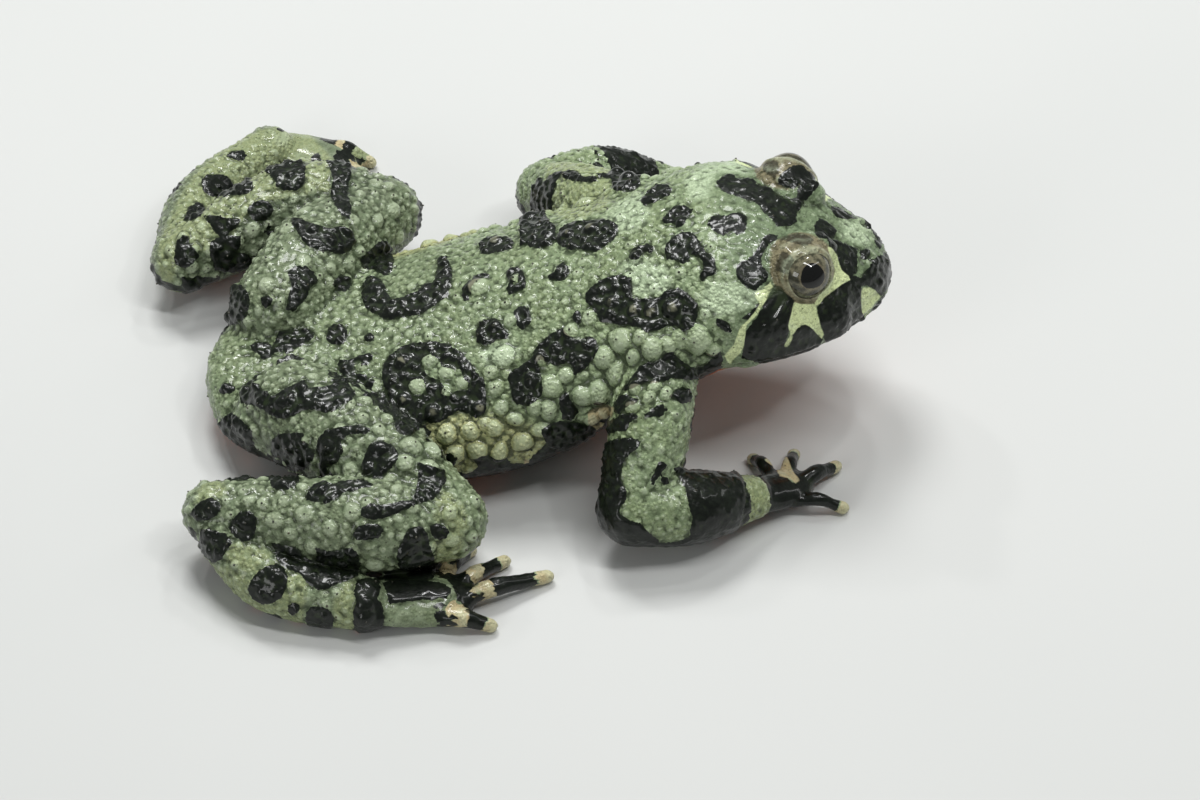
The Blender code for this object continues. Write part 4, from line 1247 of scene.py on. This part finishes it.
class Finish:
    """A material under construction: its nodes, and the shader that they feed."""

    def __init__(self, name, **constants):
        self.material = bpy.data.materials.new(name)
        self.material.use_nodes = True
        self.tree = self.material.node_tree
        self.shader = self.tree.nodes["Principled BSDF"]
        for socket, value in constants.items():
            self.shader.inputs[socket.replace("_", " ")].default_value = value
        spot = self.node("ShaderNodeTexCoord", {}, {}, "Object")
        self.place = self.node("ShaderNodeVectorMath", {"operation": "SCALE"}, {0: spot, "Scale": 1 / MM})

    def node(self, kind, settings, inputs, output=0):
        """Adds a node: its settings first, then the value or the link of each input; gives one output."""
        made = self.tree.nodes.new(kind)
        for name, value in settings.items():
            setattr(made, name, value)
        for name, value in inputs.items():
            if isinstance(value, Value):
                self.tree.links.new(value.socket, made.inputs[name])
            else:
                made.inputs[name].default_value = value
        return Value(self, made.outputs[output])

    def stored(self, name):
        """A number that the mesh keeps for each vertex."""
        return self.node("ShaderNodeAttribute", {"attribute_name": name}, {}, "Fac")

    def noise(self, size, detail=2.0, rough=0.5):
        """Cloudy noise around 0, from about -0.5 to 0.5; size in millimetres."""
        inputs = {"Vector": self.place, "Scale": 1 / size, "Detail": detail, "Roughness": rough}
        return self.node("ShaderNodeTexNoise", {}, inputs) - 0.5

    def grains(self, size):
        """Distance from the middles of cells of that size in millimetres."""
        return self.node("ShaderNodeTexVoronoi", {}, {"Vector": self.place, "Scale": 1 / size}, "Distance")

    def mixed(self, share, first, second):
        """Colour from the first to the second by a share; each is a tone's name or a colour value."""
        first, second = (shade(tone) if isinstance(tone, str) else tone for tone in (first, second))
        return self.node("ShaderNodeMix", {"data_type": "RGBA"}, {0: share, 6: first, 7: second}, 2)

    def layered(self, color, *layers):
        """Colour under further tones, each laid over it by its share."""
        for share, tone in layers:
            color = self.mixed(share, color, tone)
        return color

    def feed(self, **links):
        """Links values to the shader's sockets."""
        for socket, value in links.items():
            self.tree.links.new(value.socket, self.shader.inputs[socket.replace("_", " ")])

    def bumped(self, height, depth, under=None):
        """Normal of a height from 0 to 1, that many millimetres deep."""
        inputs = {"Height": height, "Distance": depth * MM, "Strength": 1.0}
        if under is not None:
            inputs["Normal"] = under
        return self.node("ShaderNodeBump", {}, inputs)


# Colours by their 0 to 255 values on a screen; a few of the skin's tones are painted shade in its gaps and
# creases and painted highlight on its tops
TONES = {
    "olive": (134, 149, 108), "fresh green": (154, 172, 132), "dull green": (112, 122, 98),
    "deep green": (108, 124, 94), "wart top highlight": (178, 190, 158), "head green": (104, 121, 92),
    "yellow flank": (180, 182, 130), "pale band": (156, 166, 120), "mint": (196, 214, 178),
    "grain gap shade": (98, 114, 86), "lid": (96, 90, 66), "worn lid": (142, 134, 106), "lid brown": (50, 46, 34),
    "black": (10, 14, 10), "worn black": (24, 30, 22), "beige top": (134, 134, 112),
    "red": (196, 84, 32), "orange": (214, 112, 44), "belly black": (24, 27, 24),
    "face yellow": (216, 228, 172), "cream": (190, 176, 136), "fine_grains_and_shade": (60, 66, 52), "pore": (52, 54, 38),
    "crease shade": (40, 50, 30), "ridge highlight": (206, 220, 188),
    "iris": (56, 57, 44), "bronze": (120, 116, 94), "vein": (44, 42, 32), "ring": (158, 144, 118),
    "iris rim": (24, 24, 20), "pupil": (9, 9, 9), "horn": (34, 36, 27), "worn horn": (70, 66, 48),
    "floor": (196, 198, 196), "light floor": (204, 205, 203),
}


def shade(tone):
    """A tone as the light that the shader works in."""
    parts = (np.array(TONES[tone]) / 255 + 0.055) / 1.055
    return (*(parts ** 2.4), 1.0)


def skin_finish():
    """Green granular skin, black blotches with raised rough grains, yellow flank, red belly, cream tips.

    Each stored field is a signed distance or a share; a little noise frays its edge.
    """
    finish = Finish("skin", Coat_Roughness=0.12, Coat_IOR=1.4, IOR=1.22)
    wide, middle, fine = finish.noise(4.0, 3.0), finish.noise(1.1, 3.0, 0.6), finish.noise(0.22, 2.0)
    grain, fine_grains_and_shade, pores = finish.grains(0.27), finish.grains(0.1), finish.grains(0.45).eased(0.15, 0.08)
    stored = {name: finish.stored(name) for name in (
        "black", "light", "cream", "wart", "topped", "lid", "tip", "relief", "belly", "grey", "head",
        "yellow", "pale", "mint", "brown",
    )}

    green = finish.layered(
        finish.mixed((wide + 0.5).eased(0.3, 0.7), "olive", "fresh green"),
        # Duller green to the rear and on the limbs; on the far hind leg it is partly painted shade
        (stored["grey"] * 0.7, "dull green"),
        ((middle + 0.1).eased(0.0, 0.35) * 0.5, "deep green"),
        # Painted highlight: lighter green on the tops of the warts
        (stored["wart"].eased(0.2, 0.7) * 0.3, "wart top highlight"),
        (stored["head"] * 0.7, "head green"),
        (stored["yellow"], "yellow flank"),
        ((stored["pale"] + middle * 0.5).eased(0.2, -0.2) * 0.8, "pale band"),
        ((stored["mint"] + middle * 0.8).eased(0.3, -0.3) * 0.8, "mint"),
        # Painted shade: darker green in the gaps between the grains
        ((grain + middle * 0.4).eased(0.42, 0.75) * 0.4, "grain gap shade"),
    )
    lid = finish.layered(
        finish.mixed((fine + middle).eased(-0.3, 0.3), "lid", "worn lid"),
        ((stored["brown"] + fine * 0.2).eased(0.06, -0.06) * 0.9, "lid brown"),
    )
    green = finish.mixed((stored["lid"] + middle * 0.3).eased(0.12, -0.08), green, lid)
    black = finish.layered(
        finish.mixed((middle + fine).eased(-0.3, 0.4), "black", "worn black"),
        ((stored["topped"] + middle * 0.3).eased(0.44, 0.6) * 0.75, "beige top"),
    )
    marbled = (finish.noise(2.6, 2.0) + middle * 0.25).eased(-0.02, 0.03)
    belly = finish.layered(
        finish.mixed((middle + wide).eased(-0.3, 0.3), "red", "orange"),
        (marbled, "belly black"),
    )

    blackness = (stored["black"] + middle * 0.35 + fine * 0.2 - 0.02).eased(0.025, -0.025)
    greenness = 1 - blackness
    light = (stored["light"] + middle * 0.15).eased(0.04, -0.05)
    cream = (stored["cream"].least(stored["tip"]) + middle * 0.2).eased(0.05, -0.05)
    color = finish.mixed(blackness, green, black)
    color = finish.mixed((stored["belly"] + wide * 0.3).eased(0.62, 0.7), color, belly)
    color = finish.layered(
        color,
        (light, "face yellow"),
        (cream, "cream"),
        # Painted shade: darker green in the gaps between the finest grains, whose heights also make the fine
        # bumps
        (fine_grains_and_shade.eased(0.3, 0.75) * greenness * 0.22, "fine_grains_and_shade"),
        (pores * greenness * 0.75, "pore"),
        # Painted shade: darker colour in the creases between warts and grains
        (stored["relief"].eased(0.0, -0.05) * (0.8 - light * 0.6), "crease shade"),
        # Painted highlight: lighter colour on raised ridges and bumps
        (stored["relief"].eased(0.01, 0.06) * greenness * 0.3, "ridge highlight"),
    )

    bumps = finish.bumped((1 - grain.eased(0.05, 0.65)) * (1 - blackness * 0.82), 0.08)
    bumps = finish.bumped((1 - fine_grains_and_shade.eased(0.05, 0.6)) * (1 - blackness * 0.7), 0.008, bumps)
    rough = 0.42 + middle * 0.2 - blackness * 0.08
    finish.feed(Base_Color=color, Roughness=rough, Coat_Weight=0.52 + blackness * 0.08, Normal=bumps)
    return finish.material


def eye_finish():
    """Bronze iris with dark veins round a black pupil, under a clear wet coat.

    The pupil, the ring and the iris's rim are steps of the angle from the look, in degrees.
    """
    finish = Finish("eye", Roughness=0.06)
    angle, turn = finish.stored("angle"), finish.stored("turn")
    veins, clouds = finish.noise(0.13, 4.0, 0.7), finish.noise(0.5, 2.0)
    frayed = angle + veins * 9
    color = finish.layered(
        finish.mixed((veins + clouds).eased(-0.2, 0.25), "iris", "bronze"),
        ((veins - clouds * 0.5).eased(0.0, 0.1) * 0.75, "vein"),
        (frayed.eased(25, 27) * (1 - frayed.eased(28, 32)) * 0.3, "ring"),
        ((angle + veins * 6).eased(51, 57), "iris rim"),
        ((angle + turn * 1.5 + veins * 1.5).eased(26.5, 25.5), "pupil"),
    )
    finish.feed(Base_Color=color)
    return finish.material


def spine_finish():
    """Dark brown horn of the small spines on the warts."""
    finish = Finish("spines", Roughness=0.35, Coat_Weight=0.3)
    finish.feed(Base_Color=finish.mixed(finish.noise(0.4).eased(-0.2, 0.3), "horn", "worn horn"))
    return finish.material


def make_eye(side):
    """Eyeball: a ball whose front swells by a bell of the angle from the look, as a cornea does.

    Its mesh keeps that angle, and cos(3 (turn + 90 degrees)), which gives the pupil three soft corners.
    """
    _, middle, way = eye_places(side)
    upward = upward_of(way)
    rings, sides = 96, 128
    fall, turn, ways = ball_ways(rings, sides, 0.004)
    reach = EYE_BALL + CORNEA_SWELL * bell(np.degrees(fall), CORNEA_ANGLE)
    away = ways[..., :1] * np.cross(upward, way) + ways[..., 1:2] * upward + ways[..., 2:] * way
    points = (middle + away * reach[..., None]).reshape(-1, 3)
    eye = Skin(mesh_from(f"eyeball_{side}", points, tube_quads(rings, sides)))
    eye.keep("angle", np.degrees(fall + 0 * turn).ravel())
    eye.keep("turn", (np.cos(3 * (turn + math.pi / 2)) + 0 * fall).ravel())
    return eye.mesh


# Spines: the least radius of their warts, the share of those that has none, where the bare snout begins,
# and half width and height of the foot ring, the shoulder ring and the tip
SPINY_WART = 0.3
SPINELESS_SHARE = 0.45
SNOUT_START = 37
SPINE_PROFILE = ((0.088, -0.05), (0.065, 0.02), (0.024, 0.082))


def make_spines(skin, warts, chance):
    """A short cone on the tops of larger warts, its rings square to the skin there."""
    points, ways = skin.points, skin.soft_normals(8)
    cells = Cells(points)
    sides = 6
    turn = full_turn(sides)[:, None]
    forms = []
    for place, radius, _ in warts.rows:
        if radius < SPINY_WART or place[0] > SNOUT_START or chance.random() < SPINELESS_SHARE:
            continue
        found, gap = cells.near(place, radius + 0.5)
        if len(found) == 0:
            continue
        away = (points[found] - place) @ ways[found[gap.argmin()]]
        top = found[np.argmax(away - gap * 0.6)]
        way = ways[top]
        side = unit(np.cross(way, (0.3, 0.5, 0.8)))
        ring = side * np.cos(turn) + np.cross(way, side) * np.sin(turn)
        size = chance.uniform(0.7, 1.15)
        rings = [points[top] + way * height * size + wide * size * ring for wide, height in SPINE_PROFILE]
        forms.append((np.vstack(rings), tube_quads(len(rings), sides)))
    return joined(forms)


# Half the floor's side and the camera's sensor, in millimetres; sky's tint and strength; what lamps face
FLOOR_HALF = 900.0
SENSOR = 36.0
SKY_TINT = (0.97, 1.0, 0.98, 1.0)
SKY_STRENGTH = 0.22
LAMP_TARGET = (20.0, 0.0, 5.0)
# Square soft lamps, and small ones for glints on the wet skin: place, width and watts
LAMPS = {
    "overhead": ((-10.0, 140.0, 240.0), 80.0, 0.45),
    "front": ((-150.0, -170.0, 130.0), 90.0, 0.12),
}
GLINTS = {
    "glint_0": ((70.0, 130.0, 180.0), 14.0, 0.05),
    "glint_1": ((-70.0, 140.0, 170.0), 14.0, 0.05),
    "glint_2": ((96.0, 66.0, 221.0), 14.0, 0.05),
    "glint_3": ((144.0, -61.0, 232.0), 14.0, 0.05),
}
# Strip lamps, which the wet eye mirrors as a curved line: both ends, width and watts
STRIPS = {
    "window": ((19.0, -13.0, 262.0), (144.0, -61.0, 232.0), 22.0, 0.2),
    "sill": ((144.0, -61.0, 232.0), (245.0, 65.0, 132.0), 16.0, 0.05),
}


def look_at(thing, place, target):
    """Puts a lamp or the camera at a place, turned to a target, both in the toad's frame."""
    place, target = Vector(to_model(place)), Vector(to_model(target))
    thing.location = place
    thing.rotation_euler = (target - place).to_track_quat("-Z", "Y").to_euler()
    bpy.context.scene.collection.objects.link(thing)


def add_lamp(name, place, size, power):
    """Square soft lamp; size in millimetres, power in watts."""
    lamp = bpy.data.lights.new(name, "AREA")
    lamp.size, lamp.energy = size * MM, power
    look_at(bpy.data.objects.new(name, lamp), place, LAMP_TARGET)


def add_strip(name, first, last, width, power):
    """Soft strip lamp from one place to another, facing the toad."""
    first, last = np.array(first), np.array(last)
    length = np.linalg.norm(last - first)
    lamp = bpy.data.lights.new(name, "AREA")
    lamp.shape, lamp.size, lamp.size_y, lamp.energy = "RECTANGLE", length * MM, width * MM, power
    strip = bpy.data.objects.new(name, lamp)
    middle, along = (first + last) / 2, (last - first) / length
    back = middle - LAMP_TARGET
    back = unit(back - along * (back @ along))
    turned = Matrix(np.column_stack([along, np.cross(back, along), back]).tolist())
    strip.matrix_world = Matrix.Translation(to_model(middle)) @ turned.to_4x4()
    bpy.context.scene.collection.objects.link(strip)


def make_stage():
    """Pale floor, soft lamps above it, and the camera at the photo's view."""
    corners = [(x * FLOOR_HALF, y * FLOOR_HALF, 0) for x, y in ((-1, -1), (1, -1), (1, 1), (-1, 1))]
    floor = bpy.data.objects.new("floor", mesh_from("floor", corners, [(0, 1, 2, 3)], smooth=False))
    bpy.context.scene.collection.objects.link(floor)
    finish = Finish("floor", Roughness=0.8)
    finish.feed(Base_Color=finish.mixed(finish.noise(60.0, 2.0) + 0.5, "floor", "light floor"))
    floor.data.materials.append(finish.material)

    world = bpy.data.worlds.new("studio")
    world.use_nodes = True
    sky = world.node_tree.nodes["Background"].inputs
    sky["Color"].default_value, sky["Strength"].default_value = SKY_TINT, SKY_STRENGTH
    bpy.context.scene.world = world
    bpy.context.scene.view_settings.view_transform = "Standard"
    for add, lamps in ((add_lamp, LAMPS), (add_strip, STRIPS), (add_lamp, GLINTS)):
        for name, settings in lamps.items():
            add(name, *settings)

    lens = bpy.data.cameras.new("camera")
    lens.sensor_width = SENSOR
    lens.lens = Camera.pixels_per_mm * Camera.distance * SENSOR / PHOTO_SIZE[0]
    lens.clip_start, lens.clip_end = 0.01, 10.0
    camera = bpy.data.objects.new("camera", lens)
    look_at(camera, Camera.place, Camera.aim)
    bpy.context.scene.camera = camera


skin, warts = make_skin()
skin_piece = add_piece("toad_skin", skin.mesh)
skin_piece.data.materials.append(skin_finish())
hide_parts(*(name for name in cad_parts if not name.startswith("eye_")))

eye_material = eye_finish()
for eye_side in JOINTS:
    eye_piece = add_piece(f"eyeball_{eye_side}", make_eye(eye_side))
    eye_piece.data.materials.append(eye_material)
    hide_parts(f"eye_{eye_side}")

spine_forms = make_spines(skin, warts, np.random.default_rng(SEED))
spine_piece = add_piece("wart_spines", mesh_from("spines", *spine_forms))
spine_piece.data.materials.append(spine_finish())

make_stage()
